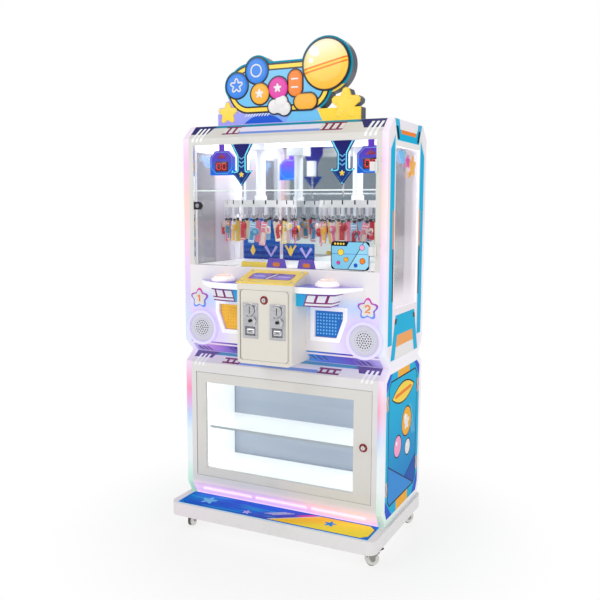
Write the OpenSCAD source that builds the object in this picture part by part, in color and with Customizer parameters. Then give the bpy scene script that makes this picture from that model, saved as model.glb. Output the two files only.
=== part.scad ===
// Two-player key-fob prize vendor: a glazed play case on a lit showcase cabinet.
// Millimetres. +Z is up, the front faces -Y, and left is -X as the player sees it.

/* [Cabinet] */
// Width over the two side panels
body_w = 850; // [800:1:900]
// Depth from the front face to the back face
body_d = 440; // [425:1:480]
// Thickness of the cabinet boards
board_t = 15; // [13:0.5:17]
// Width of the light edging across the front
edge_w = 25; // [20:1:30]
// Depth of the light edging along the side
edge_d = 24; // [18:1:30]
// Thickness of a side panel
side_panel_t = 6; // [4:0.5:8]
// Thickness of a side window
window_t = 4; // [3:0.5:6]
// Length of a side window from front to back
window_d = 274; // [240:1:300]
// Height of a side window
window_h = 586; // [520:1:620]
// Height of a side window's lower edge above the upper face's lower edge
window_rise = 162; // [140:1:180]

/* [Heights] */
// Height of the plinth's underside above the floor
caster_h = 70; // [68:1:80]
// Height of the plinth board
plinth_h = 52; // [40:1:60]
// Height of the kick slope
kick_h = 53; // [45:1:60]
// Depth of the kick slope
kick_d = 30; // [24:1:36]
// Height of the lower cabinet's upright face
lower_face_h = 505; // [495:1:540]
// Height of the slope above the lower face
waist_low_h = 37; // [30:1:45]
// Height of the slope below the upper face
waist_up_h = 51; // [45:1:60]
// Depth of both waist slopes
waist_d = 52; // [44:1:58]
// Height of the upper cabinet's upright face
upper_face_h = 793; // [785:1:830]
// Height of the crown slope
crown_h = 50; // [40:1:60]
// Depth of the crown slope
crown_d = 53; // [44:1:60]

/* [Plinth] */
// Overhang of the plinth on each side
plinth_side = 12; // [6:1:20]
// Overhang of the plinth in front
plinth_front = 112; // [95:1:125]
// Radius of the plinth's corners
plinth_r = 35; // [20:1:45]
// Width of one kick light bar
kick_bar_w = 222; // [180:1:240]
// Distance between the centres of two kick light bars
kick_bar_pitch = 244; // [242:1:255]

/* [Casters] */
// Radius of a caster wheel
wheel_r = 25; // [22:0.5:26]
// Width of a caster wheel
wheel_w = 20; // [16:0.5:24]
// Distance of a wheel's axle behind its swivel axis
caster_trail = 18; // [14:0.5:20]
// Distance of a caster from the plinth's side edge
caster_inset_x = 52; // [45:1:65]
// Distance of a caster from the plinth's front edge
caster_inset_front = 70; // [65:1:90]
// Distance of a caster from the plinth's back edge
caster_inset_back = 60; // [55:1:80]
// Turn of the front left caster about its swivel
caster_turn_fl = 12; // [-180:1:180]
// Turn of the front right caster about its swivel
caster_turn_fr = -48; // [-180:1:180]
// Turn of the rear left caster about its swivel
caster_turn_rl = 0; // [-180:1:180]
// Turn of the rear right caster about its swivel
caster_turn_rr = -30; // [-180:1:180]

/* [Showcase] */
// Distance of the showcase door from each side
show_margin = 47; // [42:1:55]
// Distance of the door's upper edge below the lower face's upper edge
show_door_drop = 42; // [34:1:54]
// Height of the door's lower edge above the lower face's lower edge
show_door_rise = 36; // [28:1:42]
// Width of the door's stile on the hinge side
show_stile_hinge = 44; // [36:1:55]
// Width of the door's stile on the lock side
show_stile_lock = 71; // [64:1:80]
// Height of the door's top rail
show_rail_top = 39; // [30:1:48]
// Height of the door's bottom rail
show_rail_bottom = 34; // [28:1:44]
// Thickness of the door glass
show_glass_t = 4; // [3:0.5:6]
// Overlap of the glass behind its frame
show_glass_lap = 6; // [4:1:10]
// Distance of the liner's inner wall from the door's edge
liner_inset = 36; // [28:1:42]
// Inner depth of the lit liner
liner_d = 223; // [200:1:240]
// Inner height of the lit liner
liner_h = 374; // [362:1:380]
// Thickness of the liner's sheets
liner_t = 3; // [2:0.5:4]
// Height of the liner's floor above the door's lower edge
liner_rise = 27; // [22:1:32]
// Height of the shelf's top above the liner's floor
shelf_rise = 177; // [150:1:210]
// Thickness of the shelf
shelf_t = 9; // [6:0.5:12]
// Radius of a shelf pin
shelf_pin_r = 2.5; // [2:0.25:3]
// Distance of the rear service door from each side
rear_margin = 125; // [115:1:155]
// Height of the rear service door
rear_door_h = 400; // [360:1:430]

/* [Console] */
// Height of the console panel
console_h = 303; // [296:1:312]
// Place of a prize opening's centre between the middle and the side
prize_share = 0.485; // [0.475:0.005:0.5]
// Width of a prize opening
prize_w = 114; // [104:1:118]
// Height of a prize opening
prize_h = 99; // [90:1:104]
// Height of a prize opening's lower edge above the console's lower edge
prize_rise = 55; // [48:1:60]
// Width of the slanted corner of a prize opening
prize_cut_w = 25; // [15:1:35]
// Height of the slanted corner of a prize opening
prize_cut_h = 69; // [50:1:76]
// Width of the raised rim round a prize opening
prize_rim_w = 16; // [10:1:18]
// Height of the raised rim round a prize opening
prize_rim_h = 6; // [3:0.5:8]
// Thickness of a prize flap
flap_t = 4; // [3:0.5:5]
// Radius of a prize flap's pin
flap_pin_r = 2; // [1.5:0.25:2.5]
// Depth of a prize chute's mouth
chute_d = 130; // [110:1:150]
// Thickness of a chute's sheet
chute_t = 3; // [2:0.5:3]
// Distance of a speaker's centre from the side
speaker_inset = 80; // [77:1:87]
// Height of a speaker's centre above the console's lower edge
speaker_rise = 54; // [50:1:60]
// Radius of a speaker grille
speaker_r = 57; // [52:1:58]
// Width of the lit ring round a speaker
speaker_ring_w = 13; // [8:0.5:15]
// Radius of a grille hole
grille_hole_r = 2; // [1.5:0.25:2.25]

/* [Control shelves] */
// Length of a control shelf
shelf_len = 232; // [222:1:240]
// Depth of a control shelf beside the coin box
shelf_reach = 98; // [96:1:108]
// Length of a control shelf's front edge before it curves back to the console
shelf_flat = 60; // [50:1:75]
// Height of a control shelf's lip
lip_h = 23; // [18:1:28]
// Height of the apron below the lip
apron_h = 48; // [40:1:56]
// Setback of the apron behind the lip
apron_back = 12; // [8:1:14]
// Height of a control shelf's top above the console's lower edge
shelf_top_rise = 247; // [240:1:252]
// Distance of a dome button from the middle
button_x = 218; // [210:1:226]
// Radius of a dome button
button_r = 45; // [40:0.5:45.5]
// Height of a dome button's cap
button_cap_h = 21; // [16:1:26]
// Travel of a dome button
button_travel = 4; // [2:0.5:5]

/* [Coin box] */
// Width of the coin box
coin_w = 226; // [216:1:232]
// Distance that the coin box stands out of the console
coin_reach = 120; // [112:1:130]
// Height of the coin box's underside above the waist
coin_rise = 5; // [3:1:10]
// Height of the coin box's front
coin_front_h = 298; // [290:1:304]
// Rise of the sloped top from front to back
coin_slope_h = 38; // [28:1:42]
// Thickness of the coin box's sheets
coin_sheet_t = 3; // [2:0.5:4]
// Radius of the coin box's lower corners
coin_corner_r = 18; // [10:1:20]
// Thickness of the yellow bezel
bezel_t = 5; // [3:0.5:6]
// Width of the bezel beyond the coin box on each side
bezel_over = 5; // [2:1:8]
// Width of the coin door
coin_door_w = 204; // [196:1:206]
// Height of the coin door
coin_door_h = 260; // [252:1:266]
// Height of the coin door's lower edge above the coin box's underside
coin_door_rise = 15; // [13:1:20]
// Thickness of the coin door and its frame
coin_door_t = 8; // [7:0.5:10]
// Distance of a coin mechanism's centre from the middle
mech_x = 56; // [50:1:58]
// Width of a coin mechanism's plate
mech_w = 62; // [56:1:66]
// Height of a coin mechanism's plate
mech_h = 130; // [124:1:136]
// Height of a mechanism's plate above the coin door's lower edge
mech_rise = 82; // [76:1:90]
// Thickness of a coin mechanism's plate
mech_t = 3; // [2:0.5:4]
// Depth of a coin mechanism behind its plate
mech_d = 55; // [48:1:60]
// Radius of the coin entry boss
entry_r = 20; // [18:0.5:22]
// Height of the coin entry boss
entry_h = 7; // [5:0.5:9]
// Length of the coin slot
slot_len = 26; // [24:0.5:30]
// Width of the coin slot
slot_w = 3.2; // [2.4:0.1:4]
// Radius of a reject button
reject_r = 6; // [5:0.25:7]
// Height that a reject button stands out
reject_out = 6; // [5:0.5:8]
// Travel of a reject button
reject_travel = 4; // [2:0.5:4.5]
// Width of a coin return cup
cup_w = 42; // [36:1:44]
// Height of a coin return cup
cup_h = 34; // [30:1:36]
// Depth of a coin return cup
cup_d = 34; // [32:1:40]

/* [Locks] */
// Radius of a lock cylinder
lock_r = 8; // [7:0.25:9]
// Height that a lock cylinder stands out
lock_out = 5; // [3:0.5:7]
// Length of a lock's cam from its axis
cam_len = 40; // [37:1:41]
// Width of a lock's cam
cam_w = 12; // [10:0.5:14]
// Thickness of a lock's cam
cam_t = 3; // [2:0.5:4]

/* [Play case] */
// Distance of the play door from each side
play_margin = 45; // [41:1:55]
// Height of the play door
play_door_h = 463; // [450:1:468]
// Thickness of the play door's glass
play_glass_t = 6; // [5:0.5:8]
// Height of a hinge clamp
clamp_h = 31; // [26:1:38]
// Width of a hinge clamp
clamp_w = 18; // [14:1:22]
// Thickness of the mirror on the back wall
mirror_t = 4; // [3:0.5:6]
// Distance of a carousel's axis from the side
carousel_inset = 211; // [207:1:219]
// Distance of a carousel's axis behind the cabinet's middle
carousel_y = 25; // [18:1:28]
// Outer radius of a carousel's rim
rim_r = 150; // [140:1:152]
// Thickness of a carousel's rim
rim_t = 10; // [8:0.5:12]
// Height of a carousel's rim
rim_h = 27; // [22:1:32]
// Height of the rim's underside above the play case floor
rim_rise = 229; // [215:1:245]
// Clips on one carousel
clip_count = 20; // [12:1:22]
// Height of a clip
clip_h = 32; // [29:1:38]
// Outer radius of a fob's ring
fob_ring_r = 13; // [12:0.5:14]
// Width of a fob's strap
strap_w = 24; // [18:1:27]
// Length of the shortest strap
strap_len = 76; // [60:1:84]
// Travel of a release pusher
pusher_travel = 12; // [6:0.5:12]
// Radius of a release pusher
pusher_r = 4; // [3:0.25:5]

/* [Hanging signs] */
// Width of an arrow sign
arrow_w = 96; // [84:1:104]
// Width of an arrow sign's shaft
arrow_shaft_w = 44; // [36:1:52]
// Height of an arrow sign's tip above the play case floor
arrow_rise = 311; // [300:1:330]
// Distance of a display board's centre from the side
display_inset = 107; // [99:1:113]
// Width of a display board
display_w = 108; // [96:1:112]
// Height of a display board
display_h = 97; // [84:1:104]
// Height of a display board's lower edge above the play case floor
display_rise = 355; // [345:1:370]

/* [Roof sign] */
// Width of the sign
sign_w = 596; // [560:1:620]
// Depth of the sign's case
sign_d = 45; // [36:1:60]
// Thickness of the sign's face
sign_face_t = 5; // [3:0.5:8]
// Thickness of the sign's case
sign_wall = 4; // [3:0.5:6]
// Radius of the large ball on the sign
sign_ball_r = 101; // [92:1:105]

/* [Hidden] */
$fn = 64;

// Clearances
seam = 0.2;
gap = 0.3;
run_fit = 0.05;
door_gap = 1.5;
cut = 1;

// Heights of the cabinet's edges
z_body = caster_h + plinth_h;
z_face_low = z_body + kick_h;
z_waist_low = z_face_low + lower_face_h;
z_waist = z_waist_low + waist_low_h;
z_face_up = z_waist + waist_up_h;
z_crown = z_face_up + upper_face_h;
z_roof = z_crown + crown_h;
z_ceiling = z_roof - board_t;

// Half sizes and the front plane
half_w = body_w / 2;
half_d = body_d / 2;
front = -half_d;
board_x = half_w - edge_w;
face_back = front + board_t;

// The origin lies below the middle of the whole object's box
front_reach = half_d + coin_reach + mech_t + entry_h;
frame_y = (front_reach - half_d) / 2;

// Side outlines of the two cabinets as (y, z), counter-clockwise
lower_outline = [
    [kick_d - half_d, z_body], [half_d - kick_d, z_body],
    [half_d, z_face_low], [half_d, z_waist_low],
    [half_d - waist_d, z_waist], [waist_d - half_d, z_waist],
    [-half_d, z_waist_low], [-half_d, z_face_low]
];
upper_outline = [
    [waist_d - half_d, z_waist], [half_d - waist_d, z_waist],
    [half_d, z_face_up], [half_d, z_crown],
    [half_d - crown_d, z_roof], [crown_d - half_d, z_roof],
    [-half_d, z_crown], [-half_d, z_face_up]
];

function unit(v) = v / norm(v);
function inward(a, b) = let(e = unit(b - a)) [-e[1], e[0]];
// A convex outline moved inward by d
function inset_outline(p, d) = let(n = len(p)) [
    for (i = [0 : n - 1])
        let(n0 = inward(p[(i + n - 1) % n], p[i]), n1 = inward(p[i], p[(i + 1) % n]))
            p[i] + d * (n0 + n1) / (1 + n0 * n1)
];

module in_frame() translate([0, frame_y, 0]) children();

module both_sides() {
    children();
    mirror([1, 0, 0]) children();
}

module to_side(side) {
    if (side < 0) mirror([1, 0, 0]) children();
    else children();
}

// A (y, z) outline drawn from x0 to x1
module side_prism(points, x0, x1)
    translate([x0, 0, 0]) rotate([90, 0, 90]) linear_extrude(x1 - x0) polygon(points);

// An (x, z) shape drawn from y0 to y1
module front_prism(y0, y1)
    translate([0, y1, 0]) rotate([90, 0, 0]) linear_extrude(y1 - y0) children();

module block(low, high) translate(low) cube(high - low);

// A cylinder along Y from y0 to y1
module along_y(x, z, r, y0, y1)
    translate([x, y1, z]) rotate([90, 0, 0]) cylinder(h = y1 - y0, r = r);

// A cylinder along X from x0 to x1
module along_x(y, z, r, x0, x1)
    translate([x0, y, z]) rotate([0, 90, 0]) cylinder(h = x1 - x0, r = r);

// One mitred board of a cabinet, along edge i of its outline
module board(outline, i) {
    n = len(outline);
    inner = inset_outline(outline, board_t);
    a = outline[i];
    b = outline[(i + 1) % n];
    s = unit(b - a) * seam / 2;
    side_prism([a + s, b - s, inner[(i + 1) % n] - s, inner[i] + s], -board_x, board_x);
}

// The upright board between two corners of an outline, as four bars round an opening
module face_bars(outline, top, bottom, x1, z0, z1) {
    inner = inset_outline(outline, board_t);
    up = [0, seam / 2];
    low_out = outline[bottom] + up;
    low_in = inner[bottom] + up;
    high_out = outline[top] - up;
    high_in = inner[top] - up;
    both_sides() side_prism([low_out, high_out, high_in, low_in], x1, board_x);
    side_prism([low_out, [low_out[0], z0], [low_in[0], z0], low_in], seam - x1, x1 - seam);
    side_prism([high_out, [high_out[0], z1], [high_in[0], z1], high_in], seam - x1, x1 - seam);
}

// Plan of a hinged leaf with its outer corner at (x0, y0) rounded about the pivot
module leaf_plan(x0, x1, y0, y1, r) {
    translate([x0 + r, y0]) square([x1 - x0 - r, y1 - y0]);
    translate([x0, y0 + r]) square([r, y1 - y0 - r]);
    translate([x0 + r, y0 + r]) circle(r);
}

// Plan of a hinged leaf whose whole edge at x0 is a half round about the pivot
module round_leaf_plan(x0, x1, y0, t) {
    translate([x0 + t / 2, y0]) square([x1 - x0 - t / 2, t]);
    translate([x0 + t / 2, y0 + t / 2]) circle(t / 2);
}

// A lock cylinder along Y with its cam at the back, pointing along +Z before it is turned
module lock(x, z, y_face, y_cam, cam_turn) {
    along_y(x, z, lock_r, y_face - lock_out, y_cam + cam_t);
    translate([x, y_cam, z]) rotate([0, cam_turn, 0])
        block([-cam_w / 2, 0, 0], [cam_w / 2, cam_t, cam_len]);
}

// Base

plinth_w = body_w + 2 * plinth_side;
plinth_y0 = front - plinth_front;

module base_plinth() color("gainsboro")
    translate([0, 0, caster_h]) linear_extrude(plinth_h) {
        low = [plinth_r - plinth_w / 2, plinth_y0 + plinth_r];
        size = [plinth_w - 2 * plinth_r, half_d - plinth_y0 - 2 * plinth_r];
        translate(low - [plinth_r, 0]) square(size + [2 * plinth_r, 0]);
        translate(low - [0, plinth_r]) square(size + [0, 2 * plinth_r]);
        for (i = [0, 1], j = [0, 1]) translate(low + [i * size[0], j * size[1]]) circle(plinth_r);
    }

kick_bar_h = 10;
kick_bar_t = 6;

module kick_light_bars() color("hotpink") {
    slope = unit([kick_d, -kick_h]);
    middle = [front + kick_d / 2, z_body + kick_h / 2];
    outward = [-kick_h, -kick_d] / norm([kick_h, kick_d]);
    a = middle - slope * kick_bar_h / 2;
    b = middle + slope * kick_bar_h / 2;
    for (i = [-1 : 1])
        side_prism([a, b, b + outward * kick_bar_t, a + outward * kick_bar_t],
            i * kick_bar_pitch - kick_bar_w / 2, i * kick_bar_pitch + kick_bar_w / 2);
}

// Casters, drawn about the swivel axis with the wheel trailing towards +Y

caster_front_x = plinth_w / 2 - caster_inset_x;
caster_front_y = plinth_y0 + caster_inset_front;
caster_rear_y = half_d - caster_inset_back;
top_plate_t = 3;
top_plate = [62, 52];
race_r = 16;
race_h = 6.5;
king_pin_r = 5;
king_pin_h = 5;
fork_t = 3;
fork_gap = 1.5;
fork_bridge_h = 4.5;
axle_r = 4;
axle_boss_r = 9;
z_race = caster_h - top_plate_t - race_h;
z_bridge = z_race - gap - fork_bridge_h;
fork_x = wheel_w / 2 + fork_gap + fork_t;
pedal_pin_r = 2.5;
pedal_boss_r = 5;
pedal_w = 14;
pedal_len = 26;
pedal_t = 4;
pedal_rise = 20;
pedal_y = caster_trail + 20;
pedal_z = wheel_r + 25;

module at_caster(x, y, turn) translate([x, y, 0]) rotate([0, 0, turn]) children();
module at_fl() at_caster(-caster_front_x, caster_front_y, caster_turn_fl) children();
module at_fr() at_caster(caster_front_x, caster_front_y, caster_turn_fr) children();
module at_rl() at_caster(-caster_front_x, caster_rear_y, caster_turn_rl) children();
module at_rr() at_caster(caster_front_x, caster_rear_y, caster_turn_rr) children();

module caster_plate() difference() {
    union() {
        translate([-top_plate[0] / 2, -top_plate[1] / 2, caster_h - top_plate_t])
            cube([top_plate[0], top_plate[1], top_plate_t]);
        translate([0, 0, z_race]) cylinder(h = race_h, r = race_r);
    }
    translate([0, 0, z_race - cut]) cylinder(h = king_pin_h + gap + cut, r = king_pin_r + run_fit);
}

module caster_plates() color("silver") {
    at_fl() caster_plate();
    at_fr() caster_plate();
    at_rl() caster_plate();
    at_rr() caster_plate();
}

module fork(braked) color("silver") {
    translate([0, 0, z_bridge]) cylinder(h = z_race - z_bridge + king_pin_h - gap, r = king_pin_r);
    translate([0, 0, z_bridge]) cylinder(h = fork_bridge_h, r = race_r);
    block([-fork_x, -race_r / 2, z_bridge], [fork_x, caster_trail, z_bridge + fork_bridge_h]);
    both_sides() {
        side_prism([
            [-race_r / 2, z_bridge + fork_bridge_h], [caster_trail, z_bridge + fork_bridge_h],
            [caster_trail + axle_boss_r, wheel_r], [caster_trail - axle_boss_r, wheel_r]
        ], fork_x - fork_t, fork_x);
        along_x(caster_trail, wheel_r, axle_boss_r, fork_x - fork_t, fork_x);
        if (braked) side_prism([
            [0, z_bridge + fork_bridge_h], [pedal_y, pedal_z + pedal_boss_r],
            [pedal_y, pedal_z - pedal_boss_r], [caster_trail, wheel_r]
        ], fork_x - fork_t, fork_x);
        if (braked) along_x(pedal_y, pedal_z, pedal_boss_r, fork_x - fork_t, fork_x);
    }
    along_x(caster_trail, wheel_r, axle_r, -fork_x, fork_x);
    if (braked) along_x(pedal_y, pedal_z, pedal_pin_r, -fork_x, fork_x);
}

module caster_fork_fl() at_fl() fork(true);
module caster_fork_fr() at_fr() fork(true);
module caster_fork_rl() at_rl() fork(false);
module caster_fork_rr() at_rr() fork(false);

module wheel() color("dimgray") difference() {
    along_x(caster_trail, wheel_r, wheel_r, -wheel_w / 2, wheel_w / 2);
    along_x(caster_trail, wheel_r, axle_r + run_fit, -wheel_w, wheel_w);
}

module caster_wheel_fl() at_fl() wheel();
module caster_wheel_fr() at_fr() wheel();
module caster_wheel_rl() at_rl() wheel();
module caster_wheel_rr() at_rr() wheel();

module brake_pedal() color("darkgray") difference() {
    union() {
        along_x(pedal_y, pedal_z, pedal_boss_r, -pedal_w / 2, pedal_w / 2);
        translate([0, pedal_y, pedal_z]) rotate([pedal_rise, 0, 0])
            block([-pedal_w / 2, pedal_pin_r + cut, -pedal_t / 2], [pedal_w / 2, pedal_len, pedal_t / 2]);
    }
    along_x(pedal_y, pedal_z, pedal_pin_r + run_fit, -pedal_w, pedal_w);
}

module caster_brake_fl() at_fl() brake_pedal();
module caster_brake_fr() at_fr() brake_pedal();

// Lower cabinet

show_x = half_w - show_margin;
show_z0 = z_face_low + show_door_rise;
show_z1 = z_waist_low - show_door_drop;
pivot_r = 6;
pivot_pin_r = 3;
pivot_pin_h = 9;
show_pivot = [pivot_r - show_x, front + pivot_r];
rear_x = half_w - rear_margin;
rear_z0 = show_z0;
rear_z1 = rear_z0 + rear_door_h;
rear_pivot = [pivot_r - rear_x, half_d - pivot_r];
inlet_w = 48;
inlet_h = 28;
inlet_x = (rear_x + board_x) / 2;
inlet_z = rear_z0 + 2 * inlet_h;
liner_z0 = show_z0 + liner_rise;
liner_y0 = face_back + show_glass_t + door_gap;
liner_y1 = liner_y0 + liner_d;
liner_x = show_x - liner_inset;

// Holes for the two pins of a pivoted door between z0 and z1
module pivot_bores(at, pin_r, pin_h, z0, z1)
    translate([at[0], at[1], z0 - pin_h - gap])
        cylinder(h = z1 - z0 + 2 * (pin_h + gap), r = pin_r + run_fit);

// The two pins of a pivoted door between z0 and z1
module pivot_pins(at, pin_r, pin_h, z0, z1)
    for (z = [z0 - pin_h, z1]) translate([at[0], at[1], z]) cylinder(h = pin_h, r = pin_r);

module lower_carcass() color("ivory") {
    for (i = [0, 1, 3, 4, 5, 7]) board(lower_outline, i);
    difference() {
        face_bars(lower_outline, 6, 7, show_x + door_gap, show_z0 - door_gap, show_z1 + door_gap);
        pivot_bores(show_pivot, pivot_pin_r, pivot_pin_h, show_z0, show_z1);
    }
    difference() {
        face_bars(lower_outline, 3, 2, rear_x + door_gap, rear_z0 - door_gap, rear_z1 + door_gap);
        pivot_bores(rear_pivot, pivot_pin_r, pivot_pin_h, rear_z0, rear_z1);
        block([inlet_x - inlet_w / 2 - gap, half_d - 2 * board_t, inlet_z - inlet_h / 2 - gap],
            [inlet_x + inlet_w / 2 + gap, half_d + cut, inlet_z + inlet_h / 2 + gap]);
    }
    // Battens that carry the liner
    both_sides() block([liner_x / 2, front + kick_d + board_t, z_body + board_t + seam],
        [liner_x / 2 + board_t, liner_y1 - board_t, liner_z0 - liner_t - seam]);
}

// Light edging round both sides of both cabinets
module edge_ring(outline) both_sides() difference() {
    side_prism(outline, board_x + seam, half_w);
    side_prism(inset_outline(outline, edge_d), board_x - cut, half_w + cut);
}

// The two cabinets' rings stay a seam apart where they meet
module edge_lights() color("lavenderblush") {
    edge_ring(inset_outline(lower_outline, seam));
    edge_ring(inset_outline(upper_outline, seam));
}

window_z0 = z_face_up + window_rise;
window_lap = 12;
panel_recess = 1;
panel_x = half_w - panel_recess;

module side_panels() color("deepskyblue") both_sides() {
    side_prism(inset_outline(lower_outline, edge_d + 2 * seam), panel_x - side_panel_t, panel_x);
    difference() {
        side_prism(inset_outline(upper_outline, edge_d + 2 * seam), panel_x - side_panel_t, panel_x);
        block([0, -window_d / 2, window_z0], [body_w, window_d / 2, window_z0 + window_h]);
    }
}

module side_windows() color("lightcyan", 0.3) both_sides()
    block([panel_x - side_panel_t - window_t, -window_d / 2 - window_lap, window_z0 - window_lap],
        [panel_x - side_panel_t, window_d / 2 + window_lap, window_z0 + window_h + window_lap]);

// Showcase

module showcase_liner() color("white") {
    liner_z1 = liner_z0 + liner_h;
    both_sides() block([liner_x, liner_y0, liner_z0], [liner_x + liner_t, liner_y1, liner_z1]);
    block([-liner_x - liner_t, liner_y0, liner_z0 - liner_t],
        [liner_x + liner_t, liner_y1, liner_z0 - seam]);
    block([-liner_x - liner_t, liner_y0, liner_z1 + seam],
        [liner_x + liner_t, liner_y1, liner_z1 + liner_t]);
    block([-liner_x - liner_t, liner_y1 + seam, liner_z0 - liner_t],
        [liner_x + liner_t, liner_y1 + liner_t, liner_z1 + liner_t]);
}

shelf_front_gap = 8;
shelf_pin_len = 14;

module showcase_shelf() color("whitesmoke") {
    shelf_z1 = liner_z0 + shelf_rise;
    shelf_z0 = shelf_z1 - shelf_t;
    block([gap - liner_x, liner_y0 + shelf_front_gap, shelf_z0], [liner_x - gap, liner_y1 - gap, shelf_z1]);
    both_sides() for (part = [0.2, 0.8])
        along_x(liner_y0 + part * liner_d, shelf_z0 - shelf_pin_r - seam, shelf_pin_r,
            liner_x - shelf_pin_len, liner_x);
}

show_glass_x0 = show_stile_hinge - show_x;
show_glass_x1 = show_x - show_stile_lock;
show_glass_z0 = show_z0 + show_rail_bottom;
show_glass_z1 = show_z1 - show_rail_top;
show_lock_x = show_x - show_stile_lock * 0.44;
show_lock_z = (show_z0 + show_z1) / 2;

module showcase_door() color("ivory") difference() {
    union() {
        translate([0, 0, show_z0]) linear_extrude(show_z1 - show_z0)
            leaf_plan(-show_x, show_x, front, face_back, pivot_r);
        pivot_pins(show_pivot, pivot_pin_r, pivot_pin_h, show_z0, show_z1);
    }
    block([show_glass_x0, front - cut, show_glass_z0], [show_glass_x1, face_back + cut, show_glass_z1]);
    along_y(show_lock_x, show_lock_z, lock_r + run_fit, front - cut, face_back + cut);
}

module showcase_glass() color("aliceblue", 0.3)
    block([show_glass_x0 - show_glass_lap, face_back, show_glass_z0 - show_glass_lap],
        [show_glass_x1 + show_glass_lap, face_back + show_glass_t, show_glass_z1 + show_glass_lap]);

module showcase_lock() color("silver")
    lock(show_lock_x, show_lock_z, front, face_back + door_gap, 180);

vent_count = 9;
vent_h = 6;

module rear_door() color("ivory") difference() {
    union() {
        translate([0, 0, rear_z0]) linear_extrude(rear_door_h) mirror([0, 1])
            leaf_plan(-rear_x, rear_x, front, face_back, pivot_r);
        pivot_pins(rear_pivot, pivot_pin_r, pivot_pin_h, rear_z0, rear_z1);
    }
    for (i = [1 : vent_count])
        block([-rear_x / 3, half_d - 2 * board_t, rear_z1 - 3 * i * vent_h - vent_h],
            [rear_x / 3, half_d + cut, rear_z1 - 3 * i * vent_h]);
}

inlet_pin_w = 2;
inlet_pin_h = 5;
inlet_cup_w = 27;
inlet_cup_h = 19;
inlet_cup_d = 12;

module power_inlet() color("black") {
    difference() {
        block([inlet_x - inlet_w / 2, half_d - 2 * board_t, inlet_z - inlet_h / 2],
            [inlet_x + inlet_w / 2, half_d, inlet_z + inlet_h / 2]);
        block([inlet_x - inlet_cup_w / 2, half_d - inlet_cup_d, inlet_z - inlet_cup_h / 2],
            [inlet_x + inlet_cup_w / 2, half_d + cut, inlet_z + inlet_cup_h / 2]);
    }
    for (i = [-1 : 1]) translate([inlet_x + i * inlet_cup_w / 4, half_d, inlet_z])
        block([-inlet_pin_w / 2, -inlet_cup_d, -inlet_pin_h / 2], [inlet_pin_w / 2, -gap, inlet_pin_h / 2]);
}

control_w = 220;
control_d = 100;
control_h = 160;

module control_unit() color("slategray")
    block([-control_w / 2, liner_y1 + 2 * board_t, z_body + board_t],
        [control_w / 2, liner_y1 + 2 * board_t + control_d, z_body + board_t + control_h]);

// Upper cabinet

z_door = z_face_up + console_h;
z_door_top = z_door + play_door_h;
play_x = half_w - play_margin;
z_floor = z_door - 2;
prize_x = half_w * prize_share;
mouth_x0 = prize_x - prize_w / 2;
mouth_x1 = prize_x + prize_w / 2;
mouth_y0 = face_back + gap;
mouth_y1 = mouth_y0 + chute_d;

module upper_carcass() color("ivory") {
    for (i = [0, 1, 2, 3, 4, 7]) board(upper_outline, i);
    // Floor of the play case, with a mouth over each chute
    z0 = z_floor - board_t;
    floor_x = board_x - seam;
    block([-floor_x, mouth_y1, z0], [floor_x, half_d - board_t - gap, z_floor]);
    block([-mouth_x0, mouth_y0, z0], [mouth_x0, mouth_y1 - seam, z_floor]);
    both_sides() block([mouth_x1, mouth_y0, z0], [floor_x, mouth_y1 - seam, z_floor]);
}

hinge_r = 4;
hinge_pin_r = 2;
hinge_x = play_x + 2;
hinge_y = front - hinge_r;
knuckle_h = 8;
hinge_heights = [z_door + play_door_h * 0.16, z_door + play_door_h * 0.8];

module hinge_bracket(z0, z1) {
    translate([hinge_x, hinge_y, z0]) cylinder(h = z1 - z0, r = hinge_r);
    block([hinge_x, front - hinge_r, z0], [board_x - seam, front, z1]);
}

module upper_front_frame() color("ivory") {
    board(upper_outline, 5);
    inner = inset_outline(upper_outline, board_t);
    high_out = upper_outline[6] - [0, seam / 2];
    high_in = inner[6] - [0, seam / 2];
    opening_x = play_x + gap;
    both_sides() side_prism([[front, z_door], high_out, high_in, [face_back, z_door]], opening_x, board_x);
    side_prism([[front, z_door_top + door_gap], high_out, high_in, [face_back, z_door_top + door_gap]],
        seam - opening_x, opening_x - seam);
    // Fixed knuckles and pins of the play door's hinges
    for (z = hinge_heights) {
        hinge_bracket(z - clamp_h / 2 - gap - knuckle_h, z - clamp_h / 2 - gap);
        hinge_bracket(z + clamp_h / 2 + gap, z + clamp_h / 2 + gap + knuckle_h);
        translate([hinge_x, hinge_y, z - clamp_h / 2 - gap]) cylinder(h = clamp_h + 2 * gap, r = hinge_pin_r);
    }
}

prize_z0 = z_face_up + prize_rise;
prize_z1 = prize_z0 + prize_h;
speaker_x = half_w - speaker_inset;
speaker_z = z_face_up + speaker_rise;
speaker_hole_r = speaker_r - 6;
flap_y = front + board_t / 2;
flap_pin_z = prize_z1 - 2 * flap_t;
flap_pin_len = 6;
coin_pass_w = 150;
prize_outline = [
    [mouth_x0, prize_z0], [mouth_x1 - prize_cut_w, prize_z0],
    [mouth_x1, prize_z0 + prize_cut_h], [mouth_x1, prize_z1], [mouth_x0, prize_z1]
];

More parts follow.
